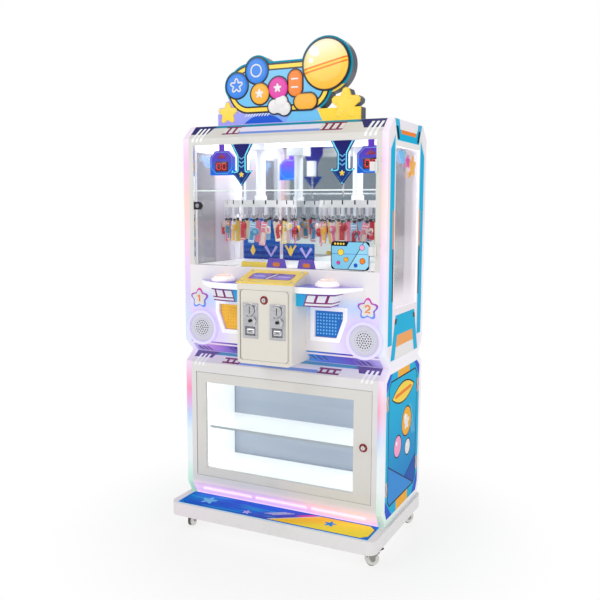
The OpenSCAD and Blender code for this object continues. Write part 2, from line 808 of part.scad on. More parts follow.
module console_panel() color("white") {
    inner = inset_outline(upper_outline, board_t);
    low = [0, seam / 2];
    difference() {
        union() {
            side_prism([
                upper_outline[7] + low, [front, z_door - seam], [face_back, z_door - seam], inner[7] + low
            ], -board_x, board_x);
            both_sides() front_prism(front - prize_rim_h, front)
                polygon(inset_outline(prize_outline, -prize_rim_w));
        }
        both_sides() {
            front_prism(front - 2 * prize_rim_h, face_back + cut) polygon(prize_outline);
            along_x(flap_y, flap_pin_z, flap_pin_r + run_fit,
                mouth_x0 - flap_pin_len - gap, mouth_x1 + flap_pin_len + gap);
            along_y(speaker_x, speaker_z, speaker_hole_r, front - cut, face_back + cut);
        }
        block([-coin_pass_w / 2, front - cut, z_face_up + 2 * board_t],
            [coin_pass_w / 2, face_back + cut, z_door - 4 * board_t]);
    }
}

mirror_top_gap = 12;

module play_mirror() color("lightsteelblue")
    block([-board_x, half_d - board_t - mirror_t, z_floor + gap],
        [board_x, half_d - board_t, z_crown - mirror_top_gap]);

chute_z0 = prize_z0 - 4 * chute_t;
chute_fall = 40;
chute_side_gap = 3;

module prize_chutes() color("gainsboro") both_sides() difference() {
    x0 = mouth_x0 - chute_side_gap;
    x1 = mouth_x1 + chute_side_gap;
    z1 = z_floor - board_t - seam;
    block([x0 - chute_t, mouth_y0, chute_z0], [x1 + chute_t, mouth_y1 + chute_t, z1]);
    side_prism([[mouth_y0 - cut, prize_z0 - chute_t], [mouth_y1, prize_z0 + chute_fall],
        [mouth_y1, z1 + cut], [mouth_y0 - cut, z1 + cut]], x0, x1);
}

module prize_flap(paint) color(paint) {
    front_prism(flap_y - flap_t / 2, flap_y + flap_t / 2) polygon(inset_outline(prize_outline, 1));
    along_x(flap_y, flap_pin_z, flap_pin_r, mouth_x0 - flap_pin_len, mouth_x1 + flap_pin_len);
}

module prize_flap_left() to_side(-1) prize_flap("gold");
module prize_flap_right() to_side(1) prize_flap("dodgerblue");

grille_t = 3;
driver_d = 34;
magnet_d = 18;
grille_rings = 4;
grille_pitch = 9;

module speakers() color("lavender") both_sides() {
    difference() {
        along_y(speaker_x, speaker_z, speaker_r - gap, front - grille_t, front);
        for (ring = [0 : grille_rings], i = [1 : max(1, 6 * ring)])
            along_y(speaker_x + ring * grille_pitch * cos(60 * i / max(1, ring)),
                speaker_z + ring * grille_pitch * sin(60 * i / max(1, ring)),
                grille_hole_r, front - 2 * grille_t, front + cut);
    }
    translate([speaker_x, front + seam, speaker_z]) rotate([-90, 0, 0]) {
        cylinder(h = driver_d, r1 = speaker_hole_r - 1, r2 = speaker_r / 2);
        cylinder(h = driver_d + magnet_d, r = speaker_r / 2);
    }
}

module speaker_rings() color("aliceblue") both_sides()
    translate([speaker_x, front, speaker_z]) rotate([90, 0, 0]) rotate_extrude() {
        translate([speaker_r, 0]) square([speaker_ring_w, speaker_ring_w / 3]);
        intersection() {
            translate([speaker_r + speaker_ring_w / 2, speaker_ring_w / 3]) circle(speaker_ring_w / 2);
            translate([speaker_r, 0]) square([speaker_ring_w, speaker_ring_w]);
        }
    }

// Control shelves, drawn on the right

shelf_x0 = coin_w / 2 + gap;
shelf_z1 = z_face_up + shelf_top_rise;
shelf_tip = 5;
// Shares of the shelf's length at which its lip starts to thin and its apron ends
lip_share = 0.64;
apron_share = 0.56;
lip_tip_h = 9;
shelf_bow_r = (pow(shelf_len - shelf_flat, 2) + pow(shelf_reach, 2)) / (2 * shelf_reach);
bow_facets = 720;
shelf_sheet = 6;
button_y = front - shelf_reach / 2 + 3;
stem_r = 6;
stem_flange_r = 10;
button_base_r = button_r - 3.5;
button_base_h = 7;
button_skirt = shelf_z1 + button_travel + gap;
button_shoulder = shelf_z1 + button_base_h + button_travel + gap;

// Plan of a control shelf drawn in by d: straight beside the coin box, then one arc back to the console
module shelf_plan(d) intersection() {
    union() {
        translate([shelf_x0, front - shelf_reach + d]) square([shelf_flat, shelf_reach - d]);
        translate([shelf_x0 + shelf_flat, front - shelf_reach + shelf_bow_r])
            circle(shelf_bow_r - d, $fn = bow_facets);
    }
    translate([shelf_x0, front - shelf_reach]) square([shelf_len - shelf_tip - d, shelf_reach]);
}

module control_shelves() color("mediumpurple") both_sides() {
    z_lip = shelf_z1 - lip_h;
    z_apron = z_lip - apron_h;
    difference() {
        union() {
            intersection() {
                translate([0, 0, z_lip]) linear_extrude(lip_h) shelf_plan(0);
                front_prism(front - shelf_reach, front) polygon([
                    [shelf_x0, shelf_z1], [shelf_x0, z_lip], [shelf_x0 + shelf_len * lip_share, z_lip],
                    [shelf_x0 + shelf_len, shelf_z1 - lip_tip_h], [shelf_x0 + shelf_len, shelf_z1]
                ]);
            }
            intersection() {
                translate([0, 0, z_apron]) linear_extrude(apron_h) shelf_plan(apron_back);
                front_prism(front - shelf_reach, front) polygon([
                    [shelf_x0, z_lip], [shelf_x0 + shelf_len * lip_share, z_lip],
                    [shelf_x0 + shelf_len * apron_share, z_apron], [shelf_x0, z_apron]
                ]);
            }
        }
        block([shelf_x0 + 2 * shelf_sheet, front - shelf_reach + 4 * shelf_sheet, z_apron + 2 * shelf_sheet],
            [button_x + stem_flange_r + shelf_sheet, front + cut, shelf_z1 - shelf_sheet]);
        translate([button_x, button_y, z_apron + 2 * shelf_sheet]) cylinder(h = body_d, r = stem_r + run_fit);
    }
    // Base ring of the dome button
    difference() {
        translate([button_x, button_y, shelf_z1 + seam])
            cylinder(h = button_base_h - seam, r = button_base_r);
        translate([button_x, button_y, shelf_z1 - cut]) cylinder(h = body_d, r = stem_r + run_fit);
    }
}

module start_button() {
    top = button_shoulder + button_cap_h;
    ball_r = (button_r * button_r + button_cap_h * button_cap_h) / (2 * button_cap_h);
    flange_top = shelf_z1 - shelf_sheet - gap;
    color("linen") translate([button_x, button_y, 0]) {
        difference() {
            intersection() {
                translate([0, 0, top - ball_r]) sphere(ball_r);
                translate([0, 0, button_skirt]) cylinder(h = top - button_skirt, r = button_r);
            }
            translate([0, 0, button_skirt - cut])
                cylinder(h = button_shoulder - button_skirt + cut, r = button_base_r + gap);
        }
        translate([0, 0, flange_top - shelf_sheet]) {
            cylinder(h = button_shoulder - flange_top + shelf_sheet + cut, r = stem_r);
            cylinder(h = shelf_sheet, r = stem_flange_r);
        }
    }
}

module start_button_left() to_side(-1) start_button();
module start_button_right() to_side(1) start_button();

// Coin box

coin_front = front - coin_reach;
coin_z0 = z_waist + coin_rise;
coin_z1 = coin_z0 + coin_front_h;
coin_x = coin_w / 2;
// Depth of the waist slope at the coin box's underside
coin_tail = waist_d * (1 - coin_rise / waist_up_h);
coin_back = front - seam;

// Front view of the coin box drawn in by d, with round lower corners
module coin_front_view(d) {
    low = coin_z0 + coin_corner_r;
    translate([d - coin_x, low]) square([coin_w - 2 * d, coin_front_h + coin_slope_h]);
    translate([coin_corner_r - coin_x, coin_z0 + d]) square([coin_w - 2 * coin_corner_r, coin_corner_r]);
    for (x = [coin_corner_r - coin_x, coin_x - coin_corner_r]) translate([x, low]) circle(coin_corner_r - d);
}

coin_door_x = coin_door_w / 2;
coin_door_z0 = coin_z0 + coin_door_rise;
coin_door_z1 = coin_door_z0 + coin_door_h;
coin_door_back = coin_front + coin_door_t;
coin_pivot_r = coin_door_t / 2;
coin_pivot = [coin_pivot_r - coin_door_x, coin_front + coin_pivot_r];
coin_pin_r = 2;
coin_pin_h = 6;
coin_door_gap = 1;

module coin_box() color("ivory") difference() {
    intersection() {
        side_prism([
            [coin_front, coin_z0], [coin_back + coin_tail, coin_z0], [coin_back, z_face_up],
            [coin_back, coin_z1 + coin_slope_h], [coin_front, coin_z1]
        ], -coin_x, coin_x);
        front_prism(coin_front - cut, front + coin_tail) coin_front_view(0);
    }
    intersection() {
        side_prism([
            [coin_door_back, coin_z0], [front + cut, coin_z0],
            [front + cut, coin_z1 + coin_slope_h - 2 * coin_sheet_t], [coin_door_back, coin_z1 - coin_sheet_t]
        ], -coin_x, coin_x);
        front_prism(coin_front, front + 2 * cut) coin_front_view(coin_sheet_t);
    }
    block([-coin_door_x - coin_door_gap, coin_front - cut, coin_door_z0 - coin_door_gap],
        [coin_door_x + coin_door_gap, coin_door_back + cut, coin_door_z1 + coin_door_gap]);
    pivot_bores(coin_pivot, coin_pin_r, coin_pin_h, coin_door_z0, coin_door_z1);
}

module coin_bezel() color("gold") {
    a = [coin_front, coin_z1];
    b = [coin_back, coin_z1 + coin_slope_h];
    up = [-coin_slope_h, coin_reach] / norm([coin_slope_h, coin_reach]);
    side_prism([a + up * seam, b + up * seam, b + [0, bezel_t], a + up * bezel_t],
        -coin_x - bezel_over, coin_x + bezel_over);
}

mech_z0 = coin_door_z0 + mech_rise;
mech_z1 = mech_z0 + mech_h;
mech_rim = 7;
mech_body_x = mech_w / 2 - mech_rim;
mech_fit = 0.5;
coin_lock_z = mech_z1 + 13;

module coin_door() color("ivory") difference() {
    union() {
        translate([0, 0, coin_door_z0]) linear_extrude(coin_door_h)
            round_leaf_plan(-coin_door_x, coin_door_x, coin_front, coin_door_t);
        pivot_pins(coin_pivot, coin_pin_r, coin_pin_h, coin_door_z0, coin_door_z1);
    }
    both_sides() block(
        [mech_x - mech_body_x - mech_fit, coin_front - cut, mech_z0 + mech_rim - mech_fit],
        [mech_x + mech_body_x + mech_fit, coin_door_back + cut, mech_z1 - mech_rim + mech_fit]);
    along_y(0, coin_lock_z, lock_r + run_fit, coin_front - cut, coin_door_back + cut);
}

plate_front = coin_front - mech_t;
entry_z = mech_z1 - entry_r - 5;
reject_z = mech_z0 + mech_h * 0.5;
cup_z0 = mech_z0 + mech_rim + 3;
cup_z1 = cup_z0 + cup_h;
return_pin_r = 1.5;
return_pin_len = 2;
return_pin_z = cup_z1 - 3;
return_y = coin_front + 2;
return_t = 2;
reject_len = 30;
mech_back = coin_front + mech_d;

module coin_mechs() color("silver") both_sides() translate([mech_x, 0, 0]) difference() {
    union() {
        block([-mech_w / 2, plate_front, mech_z0], [mech_w / 2, coin_front, mech_z1]);
        block([-mech_body_x, coin_front, mech_z0 + mech_rim], [mech_body_x, mech_back, mech_z1 - mech_rim]);
        along_y(0, entry_z, entry_r, plate_front - entry_h, plate_front);
    }
    block([-slot_w / 2, plate_front - entry_h - cut, entry_z - slot_len / 2],
        [slot_w / 2, mech_back - mech_t, entry_z + slot_len / 2]);
    along_y(0, reject_z, reject_r + run_fit, plate_front - cut, coin_front + reject_len);
    block([-cup_w / 2, plate_front - cut, cup_z0], [cup_w / 2, coin_front + cup_d, cup_z1]);
    along_x(return_y, return_pin_z, return_pin_r + run_fit,
        -cup_w / 2 - return_pin_len - gap, cup_w / 2 + return_pin_len + gap);
}

module reject_button() color("black")
    along_y(mech_x, reject_z, reject_r,
        plate_front - reject_out, coin_front + reject_len - reject_travel - gap);

module reject_button_left() to_side(-1) reject_button();
module reject_button_right() to_side(1) reject_button();

module return_flap() color("dimgray") translate([mech_x, 0, 0]) {
    block([gap - cup_w / 2, return_y - return_t / 2, cup_z0 + 2 * gap],
        [cup_w / 2 - gap, return_y + return_t / 2, cup_z1 - 2 * gap]);
    along_x(return_y, return_pin_z, return_pin_r, -cup_w / 2 - return_pin_len, cup_w / 2 + return_pin_len);
}

module return_flap_left() to_side(-1) return_flap();
module return_flap_right() to_side(1) return_flap();

module coin_lock() color("firebrick")
    lock(0, coin_lock_z, coin_front, coin_door_back + door_gap, 90);

cash_t = 2;
cash_h = 70;
cash_inset = 10;

module cash_box() color("gray") difference() {
    low = [coin_corner_r + coin_sheet_t - coin_x, coin_door_back + cash_inset, coin_z0 + coin_sheet_t];
    high = [-low[0], front - cash_inset, low[2] + cash_h];
    block(low, high);
    block(low + cash_t * [1, 1, 1], high + [-cash_t, -cash_t, cut]);
}

// Play door

play_glass_y = front;
play_lock_x = 22 - play_x;
play_lock_z = (z_door + z_door_top) / 2;
glass_x1 = play_x - 3;
lock_plate = [44, 4, 30];

module play_door_glass() color("aliceblue", 0.25) difference() {
    block([door_gap - play_x, play_glass_y, z_door + gap],
        [glass_x1, play_glass_y + play_glass_t, z_door_top]);
    along_y(play_lock_x, play_lock_z, lock_r + run_fit, play_glass_y - cut, play_glass_y + 2 * play_glass_t);
}

// Hinge clamps on the glass and the plate round the lock
module play_door_fittings() color("white") {
    for (z = hinge_heights) difference() {
        union() {
            block([glass_x1 - clamp_w, front - 2 * hinge_r, z - clamp_h / 2],
                [glass_x1, front - seam, z + clamp_h / 2]);
            block([glass_x1, hinge_y - hinge_pin_r, z - clamp_h / 2],
                [hinge_x, hinge_y + hinge_pin_r, z + clamp_h / 2]);
            translate([hinge_x, hinge_y, z - clamp_h / 2]) cylinder(h = clamp_h, r = hinge_r);
        }
        translate([hinge_x, hinge_y, z - clamp_h]) cylinder(h = 2 * clamp_h, r = hinge_pin_r + run_fit);
    }
    difference() {
        translate([play_lock_x, 0, play_lock_z]) front_prism(front - lock_plate[1], front - seam) polygon([
            [-lock_plate[0] * 0.45, -lock_plate[2] / 2], [lock_plate[0] * 0.25, -lock_plate[2] / 2],
            [lock_plate[0] * 0.55, 0], [lock_plate[0] * 0.25, lock_plate[2] / 2],
            [-lock_plate[0] * 0.45, lock_plate[2] / 2]
        ]);
        along_y(play_lock_x, play_lock_z, lock_r + run_fit, front - 2 * lock_plate[1], front + cut);
    }
}

module play_door_lock() color("silver")
    lock(play_lock_x, play_lock_z, front - lock_plate[1], face_back + door_gap, 180);

// Carousels, drawn about their own axis

carousel_x = half_w - carousel_inset;
z_rim = z_floor + rim_rise;
z_rim_top = z_rim + rim_h;
hub_r = 25;
hub_h = 20;
disc_t = 5;
shaft_r = 6;
shaft_len = 60;
column_r = 20;
motor_w = 80;
motor_h = 70;
z_hub = z_rim_top + hub_h;
clip_mid = rim_r - rim_t / 2;
clip_w = 10;
clip_slot = 4;
clip_pin_r = 1.5;
clip_cap = 8;
z_clip = z_rim - clip_h;
z_clip_pin = z_clip + 4 * clip_pin_r;

module at_carousel(side) translate([side * carousel_x, carousel_y, 0]) children();

// Repeats its children at every clip's place, the first one in front
module at_clips() for (i = [0 : clip_count - 1])
    rotate([0, 0, i * 360 / clip_count - 90]) translate([clip_mid, 0, 0]) {
        $place = i;
        children();
    }

module clip() {
    difference() {
        block([-rim_t / 2, -clip_w / 2, z_clip], [rim_t / 2, clip_w / 2, z_rim - seam]);
        block([-clip_slot / 2, -clip_w, z_clip - cut], [clip_slot / 2, clip_w, z_rim - clip_cap]);
    }
    along_x(0, z_clip_pin, clip_pin_r, -rim_t / 2 + cut, rim_t / 2 - cut);
}

// Rim, disc, hub with its shaft, and the clips under the rim
module carousel() color("white") {
    difference() {
        translate([0, 0, z_rim]) cylinder(h = rim_h, r = rim_r);
        translate([0, 0, z_rim - cut]) cylinder(h = rim_h + 2 * cut, r = rim_r - rim_t);
    }
    translate([0, 0, z_rim_top - 2 * disc_t]) cylinder(h = disc_t, r = rim_r - rim_t - seam);
    translate([0, 0, z_rim_top - disc_t + seam]) cylinder(h = hub_h + disc_t - seam - gap, r = hub_r);
    translate([0, 0, z_hub - cut]) cylinder(h = shaft_len, r = shaft_r);
    at_clips() clip();
}

module carousel_left() at_carousel(-1) carousel();
module carousel_right() at_carousel(1) carousel();

solenoid = [36, 28, 70];
pusher_y = carousel_y - clip_mid;
arrow_t = 5;
arrow_y1 = pusher_y - pusher_r - 2;
z_arrow = z_floor + arrow_rise;
arrow_neck = 46;
arrow_shoulder = 116;
arrow_barb = 60;
z_solenoid = z_arrow + arrow_barb;
z_pusher = z_rim_top + pusher_travel + 2 * gap;

module carousel_drives() color("whitesmoke") {
    for (side = [-1, 1]) at_carousel(side) difference() {
        union() {
            translate([0, 0, z_hub]) cylinder(h = z_ceiling - z_hub - motor_h / 2, r = column_r);
            block([-motor_w / 2, -motor_w / 2, z_ceiling - motor_h], [motor_w / 2, motor_w / 2, z_ceiling]);
        }
        translate([0, 0, z_hub - cut]) cylinder(h = shaft_len + 2 * cut, r = shaft_r + run_fit);
    }
    // Solenoids behind the arrow signs
    for (side = [-1, 1]) difference() {
        block([side * carousel_x - solenoid[0] / 2, arrow_y1 + seam, z_solenoid],
            [side * carousel_x + solenoid[0] / 2, arrow_y1 + solenoid[1], z_solenoid + solenoid[2]]);
        translate([side * carousel_x, pusher_y, z_solenoid - cut])
            cylinder(h = solenoid[2] - pusher_r + cut, r = pusher_r + run_fit);
    }
}

module release_pusher(side) color("gray")
    translate([side * carousel_x, pusher_y, z_pusher])
        cylinder(h = z_solenoid + solenoid[2] - 2 * pusher_r - z_pusher, r = pusher_r);

module release_pusher_left() release_pusher(-1);
module release_pusher_right() release_pusher(1);

// Key fobs: a ring on the clip's pin, a strap and one of three charms in front of it

fob_ring_t = 3;
fob_ring_w = 3;
fob_link_w = 6;
fob_link_h = 8;
strap_t = 4;
strap_step = 5;
strap_shift = 3;
cord_w = 2;
charm_drop = 20;
charm_step = 7;
charm_r = 13;
charm_t = 8;
charm_ball_r = 9.5;
charm_y = 8;
charm_x = strap_t / 2 + charm_ball_r + gap;
z_fob_ring = z_clip_pin + clip_pin_r + gap - (fob_ring_r - fob_ring_w);
z_strap = z_fob_ring - fob_ring_r - fob_link_h;

module charm(kind) {
    if (kind == 0) sphere(charm_ball_r);
    if (kind == 1) along_x(0, 0, charm_r, -charm_t / 2, charm_t / 2);
    if (kind == 2) rotate([45, 0, 0]) cube([charm_t, charm_r * 1.35, charm_r * 1.35], center = true);
}

module fob() {
    z_end = z_strap - strap_len - strap_step * ($place * 2 % 5);
    z_charm = z_strap - charm_drop - charm_step * ($place * 3 % 4);
    difference() {
        along_x(0, z_fob_ring, fob_ring_r, -fob_ring_t / 2, fob_ring_t / 2);
        along_x(0, z_fob_ring, fob_ring_r - fob_ring_w, -fob_ring_t, fob_ring_t);
    }
    block([-fob_ring_t / 2, -fob_link_w / 2, z_strap - cut],
        [fob_ring_t / 2, fob_link_w / 2, z_fob_ring - fob_ring_r + fob_ring_w / 2]);
    translate([0, -strap_shift, 0])
        block([-strap_t / 2, -strap_w / 2, z_end], [strap_t / 2, strap_w / 2, z_strap]);
    // The charm hangs on a cord in front of the strap
    block([-cord_w / 2, 0, z_strap], [cord_w / 2, charm_y, z_strap + cord_w]);
    block([-cord_w / 2, charm_y - cord_w, z_strap], [charm_x + cord_w / 2, charm_y, z_strap + cord_w]);
    block([charm_x - cord_w / 2, charm_y - cord_w, z_charm], [charm_x + cord_w / 2, charm_y, z_strap + cord_w]);
    translate([charm_x, charm_y, z_charm]) charm($place % 3);
}

module prizes_left() color("hotpink") at_carousel(-1) at_clips() fob();
module prizes_right() color("orange") at_carousel(1) at_clips() fob();

// Signs that hang from the ceiling

display_x = half_w - display_inset;
display_d = 18;
display_y = pusher_y + 10;
display_roof = 26;
hanger_w = 24;
hanger_t = 3;

module hanging_signs() color("navy") both_sides() {
    top = z_ceiling - seam;
    head = arrow_w / 2;
    neck = arrow_shaft_w / 2;
    half_outline = [
        [0, z_arrow], [head, z_arrow + arrow_barb], [neck, z_arrow + arrow_barb],
        [neck, z_arrow + arrow_shoulder], [head, z_arrow + arrow_shoulder + arrow_neck], [head, top]
    ];
    other_half = [for (i = [len(half_outline) - 1 : -1 : 1]) [-half_outline[i][0], half_outline[i][1]]];
    front_prism(arrow_y1 - arrow_t, arrow_y1) translate([carousel_x, 0])
        polygon(concat(half_outline, other_half));
    z0 = z_floor + display_rise;
    half_display = display_w / 2;
    front_prism(display_y, display_y + display_d) translate([display_x, z0]) polygon([
        [-half_display, 0], [half_display, 0], [half_display, display_h - display_roof],
        [half_display - display_roof, display_h], [display_roof - half_display, display_h],
        [-half_display, display_h - display_roof]
    ]);
    block([display_x - hanger_w / 2, display_y, z0 + display_h - cut],
        [display_x + hanger_w / 2, display_y + hanger_t, top]);
}

// Roof sign: a large ball and two bubbles over an oval, with two stars on a low band

sign_y0 = crown_d - half_d + 1;
star_left_r = 46;
star_right_r = 58;
band_h = 45;
orbit_len = 440;
orbit_h = 194;
orbit_x = -35;
orbit_rise = 130;
bubble_r = 58;
bubble_x = -208;
bubble_pitch = 86;
bubble_rise = 146;
bubble_climb = 50;
sign_ball_x = 163;
sign_ball_rise = 200;
bracket_w = 30;
bracket_t = 3;
bracket_h = 36;

star_notch = 0.6;
star_side = 0.93;
star_blunt = 13;

// A plump five-pointed star: each blunt tip has three corners, with a notch before it
module star(r) {
    turns = [[star_notch, -36], [star_side, -star_blunt], [1, 0], [star_side, star_blunt]];
    polygon([for (i = [0 : 4], t = turns) r * t[0] * [sin(72 * i + t[1]), cos(72 * i + t[1])]]);
}

// The sign's outline drawn in by d
module sign_shape(d) translate([0, z_roof]) {
    straight = (orbit_len - orbit_h) / 2;
    translate([d - sign_w / 2, d]) square([sign_w - 2 * d, band_h - 2 * d]);
    translate([star_left_r - sign_w / 2, star_left_r]) star(star_left_r - 2 * d);
    translate([sign_w / 2 - star_right_r, star_right_r]) star(star_right_r - 2 * d);
    translate([orbit_x - straight, orbit_rise - orbit_h / 2 + d]) square([2 * straight, orbit_h - 2 * d]);
    for (end = [-1, 1]) translate([orbit_x + end * straight, orbit_rise]) circle(orbit_h / 2 - d);
    for (i = [0, 1])
        translate([bubble_x + bubble_pitch * i, bubble_rise + bubble_climb * i]) circle(bubble_r - d);
    translate([sign_ball_x, sign_ball_rise]) circle(sign_ball_r - d);
}

module sign_case() color("dimgray") {
    y1 = sign_y0 + sign_face_t;
    difference() {
        front_prism(y1 + seam, y1 + sign_d) sign_shape(0);
        front_prism(y1 - cut, y1 + sign_d - sign_wall) sign_shape(sign_wall);
    }
    for (x = [-orbit_len / 4, orbit_len / 4]) {
        translate([x - bracket_w / 2, y1 + sign_d, z_roof]) {
            cube([bracket_w, bracket_t, bracket_h]);
            cube([bracket_w, bracket_h, bracket_t]);
        }
    }
}

module sign_face() color("khaki") front_prism(sign_y0, sign_y0 + sign_face_t) sign_shape(0);

in_frame() base_plinth();
in_frame() kick_light_bars();
in_frame() caster_plates();
in_frame() caster_fork_fl();
in_frame() caster_fork_fr();
in_frame() caster_fork_rl();
in_frame() caster_fork_rr();
in_frame() caster_wheel_fl();
in_frame() caster_wheel_fr();
in_frame() caster_wheel_rl();
in_frame() caster_wheel_rr();
in_frame() caster_brake_fl();
in_frame() caster_brake_fr();
in_frame() lower_carcass();
in_frame() edge_lights();
in_frame() side_panels();
in_frame() side_windows();
in_frame() showcase_liner();
in_frame() showcase_shelf();
in_frame() showcase_door();
in_frame() showcase_glass();
in_frame() showcase_lock();
in_frame() rear_door();
in_frame() power_inlet();
in_frame() control_unit();
in_frame() upper_carcass();
in_frame() upper_front_frame();
in_frame() console_panel();
in_frame() play_mirror();
in_frame() prize_chutes();
in_frame() prize_flap_left();
in_frame() prize_flap_right();
in_frame() speakers();
in_frame() speaker_rings();
in_frame() control_shelves();
in_frame() start_button_left();
in_frame() start_button_right();
in_frame() coin_box();
in_frame() coin_bezel();
in_frame() coin_door();
in_frame() coin_mechs();
in_frame() reject_button_left();
in_frame() reject_button_right();
in_frame() return_flap_left();
in_frame() return_flap_right();
in_frame() coin_lock();
in_frame() cash_box();
in_frame() play_door_glass();
in_frame() play_door_fittings();
in_frame() play_door_lock();
in_frame() carousel_drives();
in_frame() carousel_left();
in_frame() carousel_right();
in_frame() prizes_left();
in_frame() prizes_right();
in_frame() release_pusher_left();
in_frame() release_pusher_right();
in_frame() hanging_signs();
in_frame() sign_case();
in_frame() sign_face();
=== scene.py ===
"""Looks of the two-player key-fob prize vendor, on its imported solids. Metres, +Z up, the front at -Y."""
import math

import bpy
import numpy as np
from mathutils import Matrix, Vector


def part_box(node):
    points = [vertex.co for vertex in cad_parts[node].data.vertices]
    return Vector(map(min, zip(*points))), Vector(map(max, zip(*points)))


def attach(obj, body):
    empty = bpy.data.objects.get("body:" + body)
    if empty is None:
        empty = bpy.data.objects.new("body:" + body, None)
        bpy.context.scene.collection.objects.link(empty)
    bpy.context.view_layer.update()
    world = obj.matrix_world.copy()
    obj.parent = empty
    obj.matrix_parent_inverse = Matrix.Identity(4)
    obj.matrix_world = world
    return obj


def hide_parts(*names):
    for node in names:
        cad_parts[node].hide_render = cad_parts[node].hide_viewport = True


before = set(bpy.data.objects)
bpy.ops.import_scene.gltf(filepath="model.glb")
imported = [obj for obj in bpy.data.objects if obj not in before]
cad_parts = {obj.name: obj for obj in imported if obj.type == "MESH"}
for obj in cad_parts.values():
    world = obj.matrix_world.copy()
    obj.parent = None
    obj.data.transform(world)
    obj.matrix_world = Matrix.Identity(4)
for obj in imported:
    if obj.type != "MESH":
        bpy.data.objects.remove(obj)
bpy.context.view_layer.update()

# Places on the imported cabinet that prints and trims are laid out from
front_y = -0.155
rail_front_y = -0.1005
slope_front_y = -0.1035
sill_front_y = -0.135
case_light_y = -0.13
coin_front_y = -0.275
mech_front_y = -0.278
flap_front_y = -0.1495
sign_front_y = -0.101
arrow_front_y = -0.066
display_front_y = -0.045
mirror_front_y = 0.266
middle_y = 0.065
deck_y, deck_z = -0.1935, 0.122
deck_half_x, deck_half_y = 0.41, 0.0665
side_panel_z = 0.425
side_joint_z = 0.706
side_badge_z = 1.537
waist_edge_z, waist_top_z = 0.68, 0.717
notch_z, console_z = 0.717, 0.768
crown_edge_z, crown_top_z = 1.561, 1.611
play_half_x = 0.3995
play_front_y, play_back_y = -0.092, 0.275
play_floor_z, play_roof_z = 1.069, 1.604
guard_rail_z = 1.359
shelf_start_x, shelf_length = 0.113, 0.232
button_x, button_y = 0.218, -0.201
speaker_x, speaker_z = 0.345, 0.822
mech_x = 0.056
bezel_y, bezel_foot_z = -0.215, 1.0248
bezel_run, bezel_climb = 0.12, 0.038
score_x, score_z = 0.318, 1.458
card_x, card_z = 0.286, 1.1265
capsule_x, capsule_z = 0.163, 1.811
large_star, small_star = (0.24, 1.669), (-0.252, 1.657)
carousel_x, carousel_y, carousel_r = 0.214, 0.09, 0.145
fobs_per_carousel = 20
sides = {"left": -1, "right": 1}
ways = tuple(sides.values())
full_turn = 2.0 * math.pi


def ink(red, green, blue):
    """A colour in percent as it looks on a screen, made linear for a shader socket."""
    seen = np.array([red, green, blue]) / 100.0
    linear = np.where(seen <= 0.04045, seen / 12.92, ((seen + 0.055) / 1.055) ** 2.4)
    return (*linear.tolist(), 1.0)


black = ink(0, 0, 0)
white = ink(100, 100, 100)
pale = ink(93, 92, 92)
cream = ink(90, 89, 87)
dark = ink(10, 10, 16)
navy = ink(12, 13, 42)
plum = ink(30, 18, 50)
violet = ink(45, 33, 80)
deep_violet = ink(36, 24, 76)
lavender = ink(74, 70, 95)
royal_blue = ink(16, 36, 82)
sky_blue = ink(45, 76, 94)
teal = ink(3, 60, 71)
aqua = ink(0, 70, 87)
cyan = ink(12, 72, 88)
maroon = ink(52, 8, 34)
pink = ink(98, 66, 82)
magenta = ink(88, 25, 66)
yellow = ink(99, 85, 30)
amber = ink(97, 70, 20)
orange = ink(95, 52, 18)
shade_grey = ink(55, 54, 54)


def operation(kind, swapped=False):
    """A method of Wire that adds one Math node of this kind."""
    def apply(self, *others):
        terms = (*others, self) if swapped else (self, *others)
        return self.finish.node("ShaderNodeMath", {"operation": kind}, dict(enumerate(terms)))
    return apply


class Wire:
    """A shader socket that takes part in sums, comparisons and masks."""

    def __init__(self, finish, socket):
        self.finish = finish
        self.socket = socket

    __add__ = __radd__ = operation("ADD")
    __sub__ = operation("SUBTRACT")
    __rsub__ = operation("SUBTRACT", swapped=True)
    __mul__ = __rmul__ = operation("MULTIPLY")
    __truediv__ = operation("DIVIDE")
    __gt__ = operation("GREATER_THAN")
    __lt__ = operation("LESS_THAN")
    __and__ = operation("MINIMUM")
    __or__ = operation("MAXIMUM")
    __abs__ = operation("ABSOLUTE")
    root = operation("SQRT")
    fraction = operation("FRACT")
    nearest = operation("ROUND")
    cosine = operation("COSINE")
    angle = operation("ARCTAN2")

    def between(self, low, high):
        """1 where the value lies between the bounds, else 0: the lesser of two comparisons."""
        return (self > low) & (self < high)

    def rise(self, low, high):
        """0 below low, 1 above high, and a smooth step between them."""
        sockets = {"Value": self, "From Min": low, "From Max": high}
        return self.finish.node("ShaderNodeMapRange", {"interpolation_type": "SMOOTHSTEP"}, sockets)

    def turns(self, period):
        """How far the value has come through its period, from 0 to 1."""
        return (self / period).fraction()

    def mix(self, first, second):
        """The first colour where this mask is 0, the second where it is 1."""
        return self.finish.mix(self, first, second)


class Nodes:
    """The shader nodes of a material or of the world, emptied and then filled through one method."""

    def __init__(self, holder):
        holder.use_nodes = True
        self.tree = holder.node_tree
        self.tree.nodes.clear()

    def node(self, kind, settings=None, sockets=None, output=0):
        """Adds a node: its settings, a ramp's stops among them, then its sockets' values or links."""
        made = self.tree.nodes.new(kind)
        for name, value in (settings or {}).items():
            if name == "stops":
                self.set_stops(made.color_ramp.elements, value)
            else:
                setattr(made, name, value)
        for name, value in (sockets or {}).items():
            if isinstance(value, Wire):
                self.tree.links.new(value.socket, made.inputs[name])
            else:
                made.inputs[name].default_value = value
        return Wire(self, made.outputs[output]) if made.outputs else None

    @staticmethod
    def set_stops(elements, stops):
        """Gives a ramp one element for every stop, with its position and colour."""
        while len(elements) < len(stops):
            elements.new(1.0)
        for element, (position, colour) in zip(elements, stops):
            element.position = position
            element.color = colour


